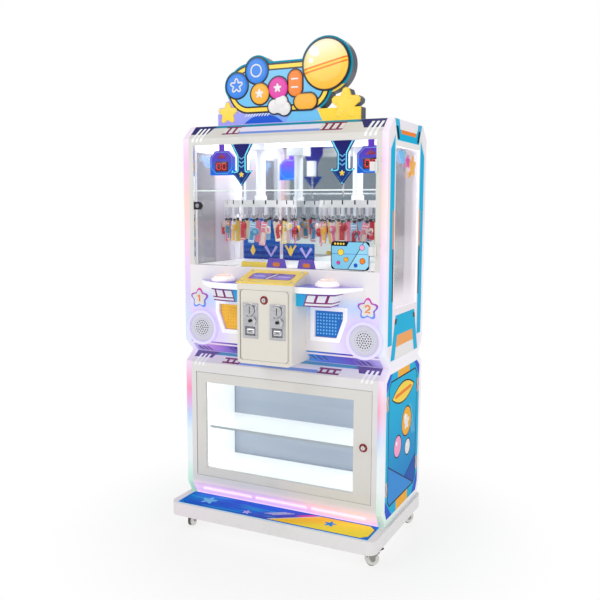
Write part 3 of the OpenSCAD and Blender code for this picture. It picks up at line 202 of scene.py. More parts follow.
class Finish(Nodes):
    """A procedural material being built; x, y and z are the piece's own metres."""

    def __init__(self, name):
        self.material = bpy.data.materials.new(name)
        super().__init__(self.material)
        self.place = self.node("ShaderNodeTexCoord", output="Object")
        self.x, self.y, self.z = (
            self.node("ShaderNodeSeparateXYZ", {}, {"Vector": self.place}, axis) for axis in "XYZ")

    def ramp(self, along, stops):
        """A colour read off a row of stops at a value from 0 to 1."""
        return self.node("ShaderNodeValToRGB", {"stops": stops}, {"Fac": along})

    def mix(self, mask, first, second):
        """A blend of two colours by a mask or a plain number."""
        return self.node("ShaderNodeMix", {"data_type": "RGBA"}, {0: mask, 6: first, 7: second}, output=2)

    def paint(self, base, *layers):
        """Lays colours over a base, each through its own mask."""
        for mask, colour in layers:
            base = self.mix(mask, base, colour)
        return base

    def noise(self, scale, detail=3.0, stretch=(1.0, 1.0, 1.0)):
        """Cloudy noise from 0 to 1, drawn out along the axes whose stretch is small."""
        place = self.node("ShaderNodeMapping", {}, {"Vector": self.place, "Scale": stretch})
        return self.node("ShaderNodeTexNoise", {}, {"Vector": place, "Scale": scale, "Detail": detail})

    def close(self, sockets, height=None, relief=0.1):
        """Ends the material in one Principled shader; height drives a fine bump."""
        if height is not None:
            settings = {"Height": height, "Strength": relief, "Distance": 0.0002}
            sockets = {**sockets, "Normal": self.node("ShaderNodeBump", {}, settings)}
        return self.end(self.node("ShaderNodeBsdfPrincipled", {}, sockets))

    def end(self, shader):
        """Leads a shader to the material's output."""
        self.node("ShaderNodeOutputMaterial", {}, {"Surface": shader})
        return self.material


def disc(across, up, centre, radius=0.0):
    """Distance of a print point outside a circle; negative inside it."""
    offset = across - centre[0]
    height = up - centre[1]
    return (offset * offset + height * height).root() - radius


def blossom(across, up, centre, radius, dent):
    """Distance outside a five-lobed star: its radius swings with the cosine of five times the angle."""
    angle = (up - centre[1]).angle(across - centre[0])
    swing = (angle * 5.0 - math.pi / 2).cosine()
    return disc(across, up, centre) - (swing * dent + (1.0 - dent)) * radius


def chamfered(across, up, half_width, half_height, cut):
    """Distance outside a rectangle with its corners cut off."""
    wide = abs(across)
    tall = abs(up)
    corner = (wide + tall - (half_width + half_height - cut)) * math.sqrt(0.5)
    return (wide - half_width) | (tall - half_height) | corner


def lacquer(finish, colour, gloss=0.3, coat=0.25, light=None, strength=0.0, shine=0.35, wear=0.12):
    """Sprayed lacquer: a faint handling haze, a finely pebbled skin and a gloss that wanders a little."""
    haze = finish.noise(9.0, 5.0).rise(0.5, 0.85)
    worn = finish.noise(160.0)
    sockets = {
        "Base Color": (haze * wear).mix(colour, shade_grey),
        "Roughness": worn * 0.16 + (gloss - 0.08),
        "Specular IOR Level": shine,
        "Coat Weight": coat,
        "Coat Roughness": 0.12,
    }
    if light is not None:
        sockets.update({"Emission Color": light, "Emission Strength": strength})
    return finish.close(sockets, finish.noise(900.0, 2.0), 0.08)


def printed(finish, colour, light=0.0):
    """Printed film under a thin matt laminate, with a painted glow of its own colour at the strength light.
    """
    return lacquer(finish, colour, 0.5, 0.0, colour, light, 0.08, 0.04)


def moulded(name, colour, gloss=0.26, coat=0.4, glow=0.0):
    """Injection-moulded plastic in one colour, emitting a share of that colour: the light of the parts that
    are lamps, a painted glow on the others.
    """
    return lacquer(Finish(name), colour, gloss, coat, colour, glow)


def metal(name, colour, gloss, grain):
    """Metal with a drawn grain: noise stretched by the grain's scales, darker in its furrows."""
    finish = Finish(name)
    drawn = finish.noise(1.0, 4.0, grain)
    worn = finish.noise(30.0, 4.0).rise(0.45, 0.8)
    sockets = {
        "Base Color": (drawn.rise(0.35, 0.75) * 0.3 + worn * 0.1).mix(colour, shade_grey),
        "Metallic": 1.0,
        "Roughness": drawn * 0.2 + worn * 0.1 + (gloss - 0.1),
    }
    return finish.close(sockets, drawn, 0.05)


def clear(name, tint, haze=0.0, frost_z=0.0):
    """Clear sheet: open from the front, shining edge-on, hazed most at the rear, frosted below frost_z; the
    haze and frost are a film with a faint painted glow.
    """
    finish = Finish(name)
    veil = (finish.y.rise(0.04, 0.07) * 0.6 + 0.4) * haze
    frost = (1.0 - finish.z.rise(frost_z - 0.05, frost_z + 0.05)) * (0.9 - veil)
    wiped = finish.noise(6.0, 6.0, (1.0, 1.0, 0.4)).rise(0.55, 0.9)
    shine = finish.node("ShaderNodeFresnel", {}, {"IOR": 1.22})
    body = finish.node("ShaderNodeBsdfTransparent", {}, {"Color": tint})
    # The film's emission is a painted glow, so the hazed and frosted parts read as lit from within
    film = finish.node("ShaderNodeBsdfPrincipled", {}, {
        "Base Color": ink(97, 94, 97), "Roughness": 0.5,
        "Emission Color": ink(97, 89, 96), "Emission Strength": 0.14,
    })
    skin = finish.node("ShaderNodeBsdfGlossy", {}, {"Color": white, "Roughness": 0.05})
    body = finish.node("ShaderNodeMixShader", {}, {0: wiped * 0.03 + frost + veil, 1: body, 2: film})
    return finish.end(finish.node("ShaderNodeMixShader", {}, {0: shine * 0.9, 1: body, 2: skin}))


def wheel_finish(node):
    """Caster wheel: pale sides and a dark tread, both dusty, matt and finely grained."""
    finish = Finish(f"{node}_rubber")
    low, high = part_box(node)
    axle = ((low.y + high.y) / 2, (low.z + high.z) / 2)
    tread = disc(finish.y, finish.z, axle, (high.z - low.z) / 2) > -0.0008
    dust = finish.noise(45.0, 5.0).rise(0.45, 0.75)
    colour = tread.mix(ink(88, 88, 86), ink(34, 32, 30))
    colour = (dust * 0.25).mix(colour, ink(52, 50, 48))
    return finish.close({"Base Color": colour, "Roughness": 0.62 + dust * 0.2}, finish.noise(420.0), 0.25)


def trim_print(finish, colour, edge_z, top_z, corner_colour, drop=0.0):
    """The print of a rail: strokes over its corner blocks, and framed squares and a bar dropped a little."""
    x, z = finish.x, finish.z
    wide = abs(x)
    leaning = x - (z - edge_z) * 0.3
    lifted = z + drop
    stroke_at = abs(leaning) - 0.336
    strokes = stroke_at.between(0.0, 0.056) & (stroke_at.turns(0.0187) < 0.55)
    corner = (wide > 0.302 + (top_z - z) * 0.7) & z.between(edge_z + 0.016, top_z - 0.002)
    frames = (abs(leaning + 0.222) < 0.04) | (abs(leaning - 0.196) < 0.044)
    squares = leaning.turns(0.027).between(0.24, 0.86) & lifted.between(edge_z + 0.017, top_z - 0.012)
    bar = x.between(-0.184, 0.154)
    bar_z = edge_z + 0.021
    trim = finish.paint(
        colour,
        (z.between(top_z - 0.01, top_z - 0.0005), wide.rise(0.28, 0.32).mix(teal, corner_colour)),
        (corner, corner_colour),
        (frames & lifted.between(edge_z + 0.012, top_z - 0.007), maroon),
        (frames & squares, pale),
        (bar & lifted.between(edge_z + 0.012, bar_z), ink(48, 62, 92)),
        (bar & lifted.between(bar_z, top_z - 0.01), ink(97, 94, 100)),
        (strokes & z.between(edge_z - 0.014, top_z - 0.01), white),
    )
    return (finish.y < rail_front_y).mix(colour, trim)


def waist_print(finish, colour):
    """The slope under the console: pink into violet, cyan into blue, dark slashes and a light strip."""
    x = finish.x
    up = finish.z - notch_z
    top = console_z - notch_z
    leaning = x + up * 0.8
    spread = abs(leaning)
    slope = finish.paint(
        finish.ramp((x + 0.4) / 0.8, [
            (0.0, lavender), (0.1, ink(80, 58, 95)), (0.24, deep_violet), (0.4, royal_blue),
            (0.56, ink(10, 74, 86)), (0.7, ink(16, 46, 90)), (0.86, deep_violet), (1.0, lavender),
        ]),
        (spread.between(0.12, 0.215) & (leaning.turns(0.024) < 0.32) & up.between(0.012, 0.03), dark),
        (spread.between(0.318, 0.38) & (spread.turns(0.021) < 0.6) & up.between(0.006, 0.024), plum),
        (up.between(top - 0.016, top - 0.008), ink(100, 94, 99)),
    )
    on_slope = (finish.y < slope_front_y) & up.between(0.0005, top - 0.0005)
    return on_slope.mix(colour, slope)


def cabinet_finish():
    """Satin paint: cream above, whiter below, printed rails, painted pink light on the kick board, and a
    painted glow at the waist and in the play case.
    """
    finish = Finish("cabinet_paint")
    x, y, z = finish.x, finish.y, finish.z
    inside = (abs(x) < play_half_x) & y.between(play_front_y, play_back_y)
    inside = inside & z.between(play_floor_z - 0.01, play_roof_z)
    colour = inside.mix(z.rise(0.72, 1.15).mix(pale, cream), white)
    colour = trim_print(finish, colour, crown_edge_z, crown_top_z, navy)
    colour = trim_print(finish, colour, waist_edge_z, waist_top_z, plum, 0.008)
    # Painted light: the kick bars' pink laid over the kick board, in its colour and in its glow
    kick = (1.0 - z.rise(0.145, 0.2)) & (y < -0.1)
    colour = kick.mix(waist_print(finish, colour), ink(100, 87, 95))
    waist = (1.0 - abs(z - notch_z).rise(0.0, 0.05)) & (y < rail_front_y)
    # Painted glow: lavender round the waist notch, pink on the kick board, white inside the play case
    light = finish.paint(black, (waist * 0.3, lavender), (kick, ink(100, 78, 90)), (inside * 0.6, white))
    return lacquer(finish, colour, 0.36, 0.06, light, 0.5, 0.25)


def plinth_finish():
    """White board with a soft colour cast from the lit kick bars, and scuffs along its foot."""
    finish = Finish("plinth_paint")
    across = (finish.x + 0.437) / 0.874
    wash = finish.ramp(across, [(0.0, ink(95, 92, 94)), (0.5, pale), (1.0, ink(95, 94, 94))])
    scuffed = finish.noise(24.0, 6.0, (1.0, 1.0, 5.0)).rise(0.58, 0.75) & (finish.z < 0.092)
    return lacquer(finish, (scuffed * 0.16).mix(wash, shade_grey), 0.36, 0.12)


def top_badge(finish):
    """How far a point of the side lies outside the badge above the window, which widens upward."""
    return abs(finish.y - middle_y) - 0.126 - (finish.z - side_badge_z) * 0.43


def diffuser_finish():
    """Frosted edge diffuser: pastel light from foot to crown, and the ends of the side print's top badge."""
    finish = Finish("edge_diffuser")
    colour = finish.ramp((finish.z - deck_z) / (crown_top_z - deck_z), [
        (0.0, ink(76, 97, 85)), (0.06, ink(84, 97, 92)), (0.1, ink(94, 98, 98)),
        (0.18, ink(90, 96, 99)), (0.225, ink(76, 85, 99)), (0.26, ink(90, 72, 92)),
        (0.3, ink(98, 62, 76)), (0.34, ink(97, 76, 88)), (0.38, ink(95, 88, 97)),
        (0.47, ink(82, 91, 98)), (0.58, ink(88, 82, 98)), (0.7, ink(98, 84, 92)),
        (0.8, ink(100, 85, 81)), (0.9, ink(96, 79, 92)), (0.97, ink(96, 90, 96)),
    ])
    badge_end = top_badge(finish).between(-0.046, 0.0) & (finish.z > side_badge_z) & (abs(finish.x) > 0.4235)
    colour = finish.paint(
        colour,
        (finish.y.rise(-0.1, 0.06) * 0.8, ink(92, 91, 93)),
        (finish.x.rise(0.398, 0.42) * 0.55, ink(96, 95, 97)),
        (badge_end, aqua),
    )
    return lacquer(finish, colour, 0.3, 0.2, colour, 0.12)


def lower_side_print(finish, along):
    """The lower side: a cut-cornered picture of facets, bubbles and a lens, in a frame with tabs."""
    z = finish.z
    up = z - side_panel_z
    wide = abs(along)
    panel = chamfered(along, up, 0.196, 0.268, 0.04)
    leaning = along + up * 0.45
    layers = [(leaning.between(0.105, 0.15) & (leaning.turns(0.015) < 0.4) & z.between(0.4, 0.53), sky_blue)]
    rear_facet = (z - 0.235 - along * 0.42, ink(5, 34, 70))
    front_facet = (z - 0.262 + along * 0.5, ink(20, 56, 86))
    for facet, tint in (rear_facet, front_facet):
        layers += [(facet < 0.0, tint), (abs(facet) < 0.003, navy)]
    tilt = math.radians(3.0)
    rise = z - 0.598
    lens_along = along * math.cos(tilt) + rise * math.sin(tilt)
    lens_up = abs(rise * math.cos(tilt) - along * math.sin(tilt))
    lens = lens_up + lens_along * lens_along * (0.036 / 0.125 ** 2) - 0.036
    layers += [(lens < 0.006, dark), (lens < 0.0, yellow), ((lens < -0.012) & (lens_up < 0.007), orange)]
    bubbles = [((0.045, 0.47), 0.056, amber), ((-0.058, 0.395), 0.04, pink), ((0.062, 0.362), 0.03, pale)]
    for centre, radius, tint in bubbles:
        edge = disc(along, z, centre, radius)
        glint = disc(along, z, (centre[0] - radius * 0.3, centre[1] + radius * 0.35), radius * 0.22)
        layers += [(edge < 0.005, dark), (edge < 0.0, tint), (glint < 0.0, white)]
    border = panel > -0.028
    block = border & (wide > 0.15) & abs(up).between(0.135, 0.19)
    layers += [
        (blossom(along, z, (0.045, 0.466), 0.032, 0.2) < 0.0, pale),
        (panel > -0.034, dark),
        (border, aqua),
        (border & (wide + abs(up) > 0.395), royal_blue),
        (border & (wide < 0.068), amber),
        (block, ink(80, 77, 77)),
        (block & (leaning.turns(0.02) < 0.4), ink(58, 58, 62)),
    ]
    return finish.paint(z.rise(0.2, 0.62).mix(ink(2, 52, 80), aqua), *layers)


def upper_side_print(finish, along):
    """The upper side: bright stripes beside the window, a skirt below it and a badge above it."""
    z = finish.z
    wide = abs(along)
    stripe = wide - 0.147
    skirt_foot_z, skirt_top_z = 0.715, 0.905
    skirt = wide - 0.112 - (skirt_top_z - z) * 0.3
    badge = top_badge(finish)
    return finish.paint(
        z.rise(0.85, 1.1).mix(ink(96, 92, 95), pale),
        ((stripe > 0.0) & z.between(0.8, 1.556 - stripe * 1.2), aqua),
        (wide.between(0.145, 0.16) & z.between(0.96, 1.29),
         (z < 1.15).mix(ink(92, 58, 34), ink(25, 28, 33))),
        ((skirt < 0.0) & z.between(skirt_foot_z, skirt_top_z), aqua),
        (skirt.between(-0.022, 0.0) & z.between(0.872, 0.892), ink(30, 22, 24)),
        ((skirt < -0.046) & z.between(0.786, 0.829), ink(96, 66, 38)),
        ((skirt < -0.046) & z.between(skirt_foot_z, 0.786), pale),
        ((badge < 0.0) & (z > side_badge_z), aqua),
        (badge.between(-0.028, -0.006) & z.between(1.542, 1.588), dark),
        ((badge < -0.046) & (z > 1.576), pale),
        ((badge < -0.054) & z.between(1.562, 1.576), orange),
    )


def side_finish():
    """Printed side skin, one print above the other with a plain joint between, and white within; a painted
    glow lights the white within fully and the print by a quarter of its colour.
    """
    finish = Finish("side_print")
    z = finish.z
    along = finish.y - middle_y
    within = abs(finish.x) < 0.4232
    colour = (z > side_joint_z).mix(lower_side_print(finish, along), upper_side_print(finish, along))
    joint = z.between(side_joint_z - 0.007, side_joint_z + 0.006)
    colour = finish.paint(colour, (joint, pale), (within, white))
    # Painted glow: full white within, a quarter of the print's own colour elsewhere
    light = within.mix(finish.mix(0.75, colour, black), white)
    return lacquer(finish, colour, 0.5, 0.0, light, 0.28, 0.08, 0.04)


def console_finish():
    """White gloss with painted light: a lavender wash round the speaker rings, a blue wash under the
    shelves, and a faint glow over the whole panel that is strongest on the white prize rims.
    """
    finish = Finish("console_gloss")
    x, z = finish.x, finish.z
    # Painted light: lavender cast round the speaker rings and blue under the shelves, in colour and in glow
    halo = 1.0 - disc(abs(x), z, (speaker_x, speaker_z), 0.07).rise(0.0, 0.085)
    under = (1.0 - abs(z - 0.935).rise(0.0, 0.055)) & (abs(x) < 0.34)
    rim = finish.y < front_y - 0.001
    colour = finish.paint(pale, (halo * 0.6, lavender), (under * 0.45, sky_blue), (rim, white))
    # Painted glow over the whole panel, stronger in the washes and on the rims
    light = finish.paint(
        ink(48, 45, 52),
        (halo, ink(72, 60, 100)),
        (under * 0.3, ink(55, 62, 100)),
        (rim, ink(58, 55, 62)),
    )
    return lacquer(finish, colour, 0.22, 0.5, light, 0.42)


def shelf_finish():
    """Control shelf: violet deck, thick white lip, and a blue-to-violet apron with slanted print."""
    finish = Finish("control_shelf_print")
    z = finish.z
    wide = abs(finish.x)
    lip_z, top_z = 0.992, 1.0145
    along = (wide - shelf_start_x) / shelf_length
    deck = finish.ramp(along, [(0.0, ink(30, 42, 86)), (0.4, violet), (1.0, lavender)])
    apron = finish.ramp(along, [(0.0, cyan), (0.35, royal_blue), (1.0, violet)])
    leaning = wide - (z - 0.944) * 0.35
    marks = leaning.between(0.14, 0.263) & z.between(0.945, 0.989)
    squares = (leaning - 0.14).turns(0.041).between(0.12, 0.88) & z.between(0.961, 0.985)
    tray = leaning.between(0.145, 0.258) & z.between(0.949, 0.956)
    colour = finish.paint(
        apron,
        (marks, maroon),
        (marks & (squares | tray), pale),
        (z > lip_z, white),
        (z > top_z, deck),
        (z > top_z + 0.0007, ink(97, 93, 98)),
    )
    light = finish.paint(apron, (z > lip_z - 0.002, ink(90, 90, 100)), (z > top_z, deck))
    return lacquer(finish, colour, 0.24, 0.25, light, 0.12, 0.2)


def dome_finish():
    """Frosted lit start button: peach at the crown, whiter to the rim, with one moulded ring."""
    finish = Finish("start_dome")
    reach = disc(abs(finish.x), finish.y, (button_x, button_y))
    colour = reach.rise(0.005, 0.042).mix(ink(100, 83, 76), ink(99, 95, 94))
    colour = (abs(reach - 0.03) < 0.0012).mix(colour, ink(93, 74, 74))
    return lacquer(finish, colour, 0.16, 0.7, colour, 0.3)


def speaker_finish():
    """Speaker cover: pale grey moulding; its inner rings of holes and the faces behind its front are painted
    dark as shade, and the outer ring of holes stays pale.
    """
    finish = Finish("speaker_cover")
    pitch, holes_per_step = 0.009, 6.0
    across = abs(finish.x) - speaker_x
    up = finish.z - speaker_z
    reach = (across * across + up * up).root()
    ring = (reach / pitch).nearest()
    step = (up.angle(across) / full_turn * ring * holes_per_step + 0.5).turns(1.0) - 0.5
    sideways = step * (pitch * full_turn / holes_per_step)
    radial = reach - ring * pitch
    hole = (sideways * sideways + radial * radial).root() < 0.0027
    # Painted shade: the holes and the faces behind the cover's front turn near black, out to three and a
    # half pitches
    shaded = (hole | (finish.y > front_y + 0.0003)) & (reach < 3.5 * pitch)
    colour = (reach.rise(0.02, 0.057) * 0.5).mix(ink(90, 90, 94), ink(80, 79, 88))
    return lacquer(finish, shaded.mix(colour, ink(12, 12, 16)), 0.38, 0.1)


def bezel_finish():
    """Yellow gloss frame round a violet display window with a slash and two fine lines."""
    finish = Finish("bezel_print")
    x = finish.x
    up = finish.y - bezel_y
    window = chamfered(x, up, 0.086, 0.024, 0.006)
    slash = abs(x - up * 0.6)
    glass = finish.noise(40.0, 2.0).rise(0.3, 0.7).mix(ink(38, 28, 72), ink(58, 46, 88))
    display = finish.paint(
        yellow,
        (window < 0.006, amber),
        (window < 0.0025, dark),
        (window < 0.0, glass),
        ((window < -0.003) & (slash < 0.014), dark),
        ((window < -0.003) & (slash < 0.006), ink(85, 80, 98)),
        ((window < -0.003) & (abs(abs(x) - 0.05) < 0.024) & (abs(up) < 0.004), lavender),
    )
    return lacquer(finish, (finish.z > 1.0205).mix(yellow, display), 0.2, 0.6)


def coin_door_finish():
    """Cream powder coat with a thin dark border line set in from the door's edge."""
    finish = Finish("coin_door_paint")
    border = chamfered(finish.x, finish.z - 0.867, 0.102, 0.136, 0.012)
    colour = border.between(-0.0045, -0.0025).mix(ink(92, 90, 86), ink(30, 30, 30))
    return lacquer(finish, colour, 0.38, 0.15)


def liner_finish():
    """Showcase lining: white walls and floor with a painted glow, and a grey-blue back with faint level
    streaks.
    """
    finish = Finish("showcase_lining")
    streak = finish.noise(1.0, 3.0, (1.2, 1.0, 26.0)).rise(0.3, 0.8)
    back = finish.y.rise(0.08, 0.087)
    grey = (streak * 0.6).mix(ink(70, 74, 81), ink(78, 81, 86))
    return lacquer(finish, back.mix(white, grey), 0.25, 0.4, back.mix(white, black), 0.34)


def case_shelf_finish():
    """White shelf of the showcase with a painted glow, and a plain grey front edge with a weaker painted
    glow.
    """
    finish = Finish("frosted_shelf")
    edge = finish.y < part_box("showcase_shelf")[0].y + 0.0005
    light = edge.mix(white, ink(52, 53, 55))
    return lacquer(finish, edge.mix(white, ink(72, 73, 75)), 0.22, 0.4, light, 0.34)


def mirror_finish():
    """Back mirror, a little grey, with a slight haze."""
    finish = Finish("back_mirror")
    haze = finish.noise(5.0, 5.0).rise(0.5, 0.9)
    return finish.close({
        "Base Color": (haze * 0.2).mix(ink(86, 88, 89), ink(72, 74, 77)),
        "Metallic": 1.0,
        "Roughness": 0.05 + haze * 0.1,
    })


def fitting_finish():
    """Play-door fittings: the lock plate is black, the hinge clamps are white."""
    finish = Finish("door_fittings")
    return lacquer(finish, (finish.x > 0.0).mix(ink(7, 7, 8), pale), 0.3, 0.3)


def sign_face_finish():
    """Topper backing: a teal rim round the picture, lavender along the foot, yellow by the large star."""
    finish = Finish("sign_rim")
    x, z = finish.x, finish.z
    colour = finish.paint(
        teal,
        (z < 1.66, x.rise(0.1, 0.16).mix(lavender, yellow)),
        (disc(x, z, small_star, 0.055) < 0.0, lavender),
        (disc(x, z, large_star, 0.07) < 0.0, yellow),
    )
    return printed(finish, colour, 0.1)


def sign_foot_finish():
    """Print on the topper's foot: violet, a blue hill, light blue and yellow, with white speed strokes."""
    finish = Finish("sign_foot_print")
    x, z = finish.x, finish.z
    up = z - crown_top_z
    leaning = x - up * 0.9
    colour = finish.paint(
        x.rise(-0.26, -0.05).mix(ink(66, 64, 95), ink(50, 66, 95)),
        (x > up * 0.5, sky_blue),
        (disc(x, z, (-0.095, 1.52), 0.126) < 0.0, royal_blue),
        (leaning.between(-0.21, -0.1) & (leaning.turns(0.012) < 0.35) & (z > 1.64), pale),
        (x + up * 0.5 > 0.15, yellow),
    )
    return printed(finish, colour, 0.1)


def ball_finish():
    """Toy capsule picture: pale upper shell, golden lower shell, an orange seam and a soft shine, with a
    faint painted glow of its colours.
    """
    finish = Finish("capsule_print")
    x, z = finish.x, finish.z
    tilt = (z - capsule_z + 0.005) - (x - capsule_x) * 0.22
    shine = disc(x + z * 0.4, z, (capsule_x - 0.025 + capsule_z * 0.4, 1.86), 0.02)
    colour = finish.paint(
        tilt.rise(-0.09, 0.0).mix(ink(98, 74, 24), ink(99, 84, 36)),
        (tilt > 0.0, tilt.rise(0.0, 0.09).mix(ink(99, 90, 55), ink(100, 97, 84))),
        (abs(tilt) < 0.01, orange),
        (abs(tilt) < 0.0035, yellow),
        (1.0 - shine.rise(-0.006, 0.006), white),
        (disc(x, z, (0.108, 1.826), 0.009) < 0.0, white),
    )
    return lacquer(finish, colour, 0.24, 0.25, colour, 0.06, 0.2)


def deck_finish():
    """Printed floor deck: blue with cyan streaks on the left, then violet, and yellow on the right."""
    finish = Finish("deck_print")
    x, y = finish.x, finish.y
    leaning = x - (y + 0.19) * 1.6
    edge = chamfered(x, y - deck_y, deck_half_x, deck_half_y, 0.03)
    rim = chamfered(x, y - deck_y, deck_half_x, deck_half_y, 0.006)
    streaks = finish.noise(1.0, 2.0, (5.0, 60.0, 1.0)).rise(0.52, 0.66) & (x < 0.02)
    dashes = leaning.between(-0.02, 0.03) & (leaning.turns(0.016) < 0.42) & y.between(-0.205, -0.16)
    layers = [
        (streaks * 0.55, cyan),
        (leaning > 0.086, pale),
        (leaning > 0.094, leaning.rise(0.14, 0.26).mix(ink(98, 78, 20), ink(99, 89, 26))),
        (leaning.between(0.055, 0.08) & (y > -0.175), magenta),
        (dashes, pale),
        (edge > -0.012, ink(4, 30, 62)),
        (edge > -0.009, ink(3, 46, 86)),
        (rim > -0.0035, ink(78, 93, 100)),
    ]
    stars = [
        ((-0.3, -0.19), 0.034, sky_blue),
        ((-0.105, -0.226), 0.018, lavender),
        ((0.23, -0.185), 0.024, ink(5, 56, 88)),
    ]
    layers += [(blossom(x, y, centre, radius, 0.26) < 0.0, tint) for centre, radius, tint in stars]
    colour = finish.ramp((leaning + 0.42) / 0.56, [
        (0.0, ink(5, 48, 88)), (0.3, ink(6, 34, 82)),
        (0.62, ink(6, 40, 88)), (1.0, ink(34, 24, 68)),
    ])
    return printed(finish, finish.paint(colour, *layers), 0.05)


def card_finish():
    """Play guide card: pale blue halves split by a slash, a dark border and tab, and plain coloured dots."""
    finish = Finish("guide_card_print")
    x = finish.x - card_x
    z = finish.z - card_z
    slash = x - z * 0.62 - 0.022
    pips = (disc(abs(abs(x + 0.042) - 0.011), z, (0.0055, 0.042), 0.0038) < 0.0) & (x < -0.015)
    layers = [
        (abs(z - 0.006) < 0.0008, royal_blue),
        (abs(slash) < 0.0016, dark),
        ((x < -0.01 - (0.04 - z) * 0.5) & (z > 0.034), dark),
        (pips, yellow),
    ]
    dots = [
        ((-0.036, 0.012), 0.011, yellow), ((-0.045, -0.026), 0.006, magenta),
        ((-0.015, -0.014), 0.008, amber), ((0.046, 0.03), 0.009, pink),
        ((0.048, -0.018), 0.01, orange), ((0.022, -0.034), 0.006, royal_blue),
    ]
    for centre, radius, tint in dots:
        spot = disc(x, z, centre, radius)
        layers += [(spot < 0.0014, dark), (spot < 0.0, tint)]
    layers.append((chamfered(x, z, 0.0745, 0.0515, 0.014) > -0.0028, dark))
    colour = (slash > 0.0).mix(ink(52, 80, 93), ink(62, 86, 96))
    return printed(finish, finish.paint(colour, *layers), 0.08)


def hanging_finish():
    """Arrow signs are navy and score boards carry their own print, told apart by how far out they hang."""
    finish = Finish("hanging_sign_print")
    z = finish.z
    edge = chamfered(abs(finish.x) - score_x, z - 1.4725, 0.054, 0.0485, 0.026)
    board = z.rise(1.435, 1.515).mix(ink(10, 42, 88), ink(42, 24, 78))
    board = edge.between(-0.007, -0.005).mix(board, sky_blue)
    arrow = z.rise(1.39, 1.58).mix(ink(10, 22, 52), ink(16, 12, 46))
    return printed(finish, (finish.y > arrow_front_y + 0.012).mix(arrow, board), 0.12)


def decor_finish():
    """Back boards of the play case: navy at the floor, brighter blue to the top, with faint level bands."""
    finish = Finish("back_board_print")
    bands = finish.z.turns(0.024) < 0.5
    colour = finish.z.rise(1.08, 1.2).mix(ink(10, 22, 62), ink(2, 42, 82))
    return printed(finish, (bands * 0.12).mix(colour, sky_blue), 0.08)


def carousel_finish():
    """White carousel with a faint painted glow of its colour: its rim carries a dark mark over every clip,
    and the clips below are frosted.
    """
    finish = Finish("carousel_gloss")
    across = abs(finish.x) - carousel_x
    along = finish.y - carousel_y
    reach = (across * across + along * along).root()
    at_clip = (along.angle(across) / full_turn * fobs_per_carousel + 0.5).turns(1.0).between(0.44, 0.56)
    marks = at_clip & (reach > carousel_r - 0.02) & finish.z.between(1.309, 1.3262)
    frosted = 1.0 - finish.z.rise(1.288, 1.302)
    colour = finish.paint(pale, (frosted * 0.6, ink(84, 84, 90)), (marks, ink(14, 14, 17)))
    return lacquer(finish, colour, 0.26, 0.3, colour, 0.1)


def fob_finish():
    """Key fobs in their own tints, each piece carrying its colour, with faint woven ribs on the straps."""
    finish = Finish("fob_tints")
    tint = finish.node("ShaderNodeAttribute", {"attribute_name": "tint"}, {}, "Color")
    ribs = finish.z.turns(0.0042) < 0.35
    return lacquer(finish, (ribs * 0.1).mix(tint, white), 0.34, 0.1)


def badge_finish():
    """Player badge outline: pink at its top, running down to blue, with a faint painted glow of its colours.
    """
    finish = Finish("badge_outline")
    colour = finish.ramp((finish.z - 0.898) / 0.08, [(0.0, ink(30, 62, 95)), (0.5, violet), (1.0, magenta)])
    return lacquer(finish, colour, 0.2, 0.5, colour, 0.15)


def film(name, colour, glow):
    """Plain coloured print with a satin skin and a painted glow of its colour."""
    return moulded(name, colour, 0.32, 0.1, glow)


# Materials by name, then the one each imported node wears
cabinet_paint = cabinet_finish()
clear_sheet = clear("clear_sheet", ink(97.5, 98.5, 98.5))
frosted_rail = moulded("frosted_rail", white, 0.3, 0.2, 0.3)
door_paint = moulded("door_powder_coat", cream, 0.38, 0.1)
white_gloss = moulded("white_gloss", ink(95, 95, 95.5), 0.24, 0.4)
carousel_gloss = carousel_finish()
start_dome = dome_finish()
black_satin = moulded("black_satin", ink(6, 6, 6.5), 0.4, 0.1)
grey_satin = moulded("grey_satin", ink(52, 53, 55), 0.42, 0.1)
dark_print = moulded("dark_outline", dark, 0.3, 0.3)
white_print = moulded("white_print", pale, 0.22, 0.5)
# The prints from here to the violet print carry a faint painted glow of their colours
yellow_print = film("yellow_print", yellow, 0.1)
amber_print = film("amber_print", amber, 0.08)
orange_print = film("orange_print", orange, 0.08)
sky_print = film("sky_print", sky_blue, 0.1)
blue_print = film("blue_print", ink(20, 52, 90), 0.08)
magenta_print = film("magenta_print", magenta, 0.08)
lavender_print = film("lavender_print", lavender, 0.1)
violet_print = moulded("violet_print", violet, 0.34, 0.1, 0.06)
lit_white = moulded("lit_white", white, 0.3, 0.2, 1.6)
lit_ceiling = moulded("lit_ceiling", white, 0.3, 0.2, 7.5)
lit_cyan = moulded("lit_cyan", ink(45, 90, 95), 0.24, 0.4, 0.35)
lit_red = moulded("lit_red", ink(95, 16, 14), 0.24, 0.4, 0.8)
window_red = moulded("display_window", ink(34, 3, 7), 0.14, 0.7)
gable_red = moulded("gable_red", ink(62, 14, 28), 0.24, 0.4)
mech_metal = metal("drawn_aluminium", ink(80, 80, 81), 0.34, (12.0, 12.0, 600.0))
chrome = metal("chrome", ink(86, 86, 87), 0.2, (60.0, 60.0, 60.0))
red_metal = metal("red_lock_ring", ink(62, 10, 12), 0.32, (90.0, 90.0, 90.0))
fork_zinc = metal("fork_zinc", ink(58, 58, 56), 0.26, (40.0, 40.0, 220.0))

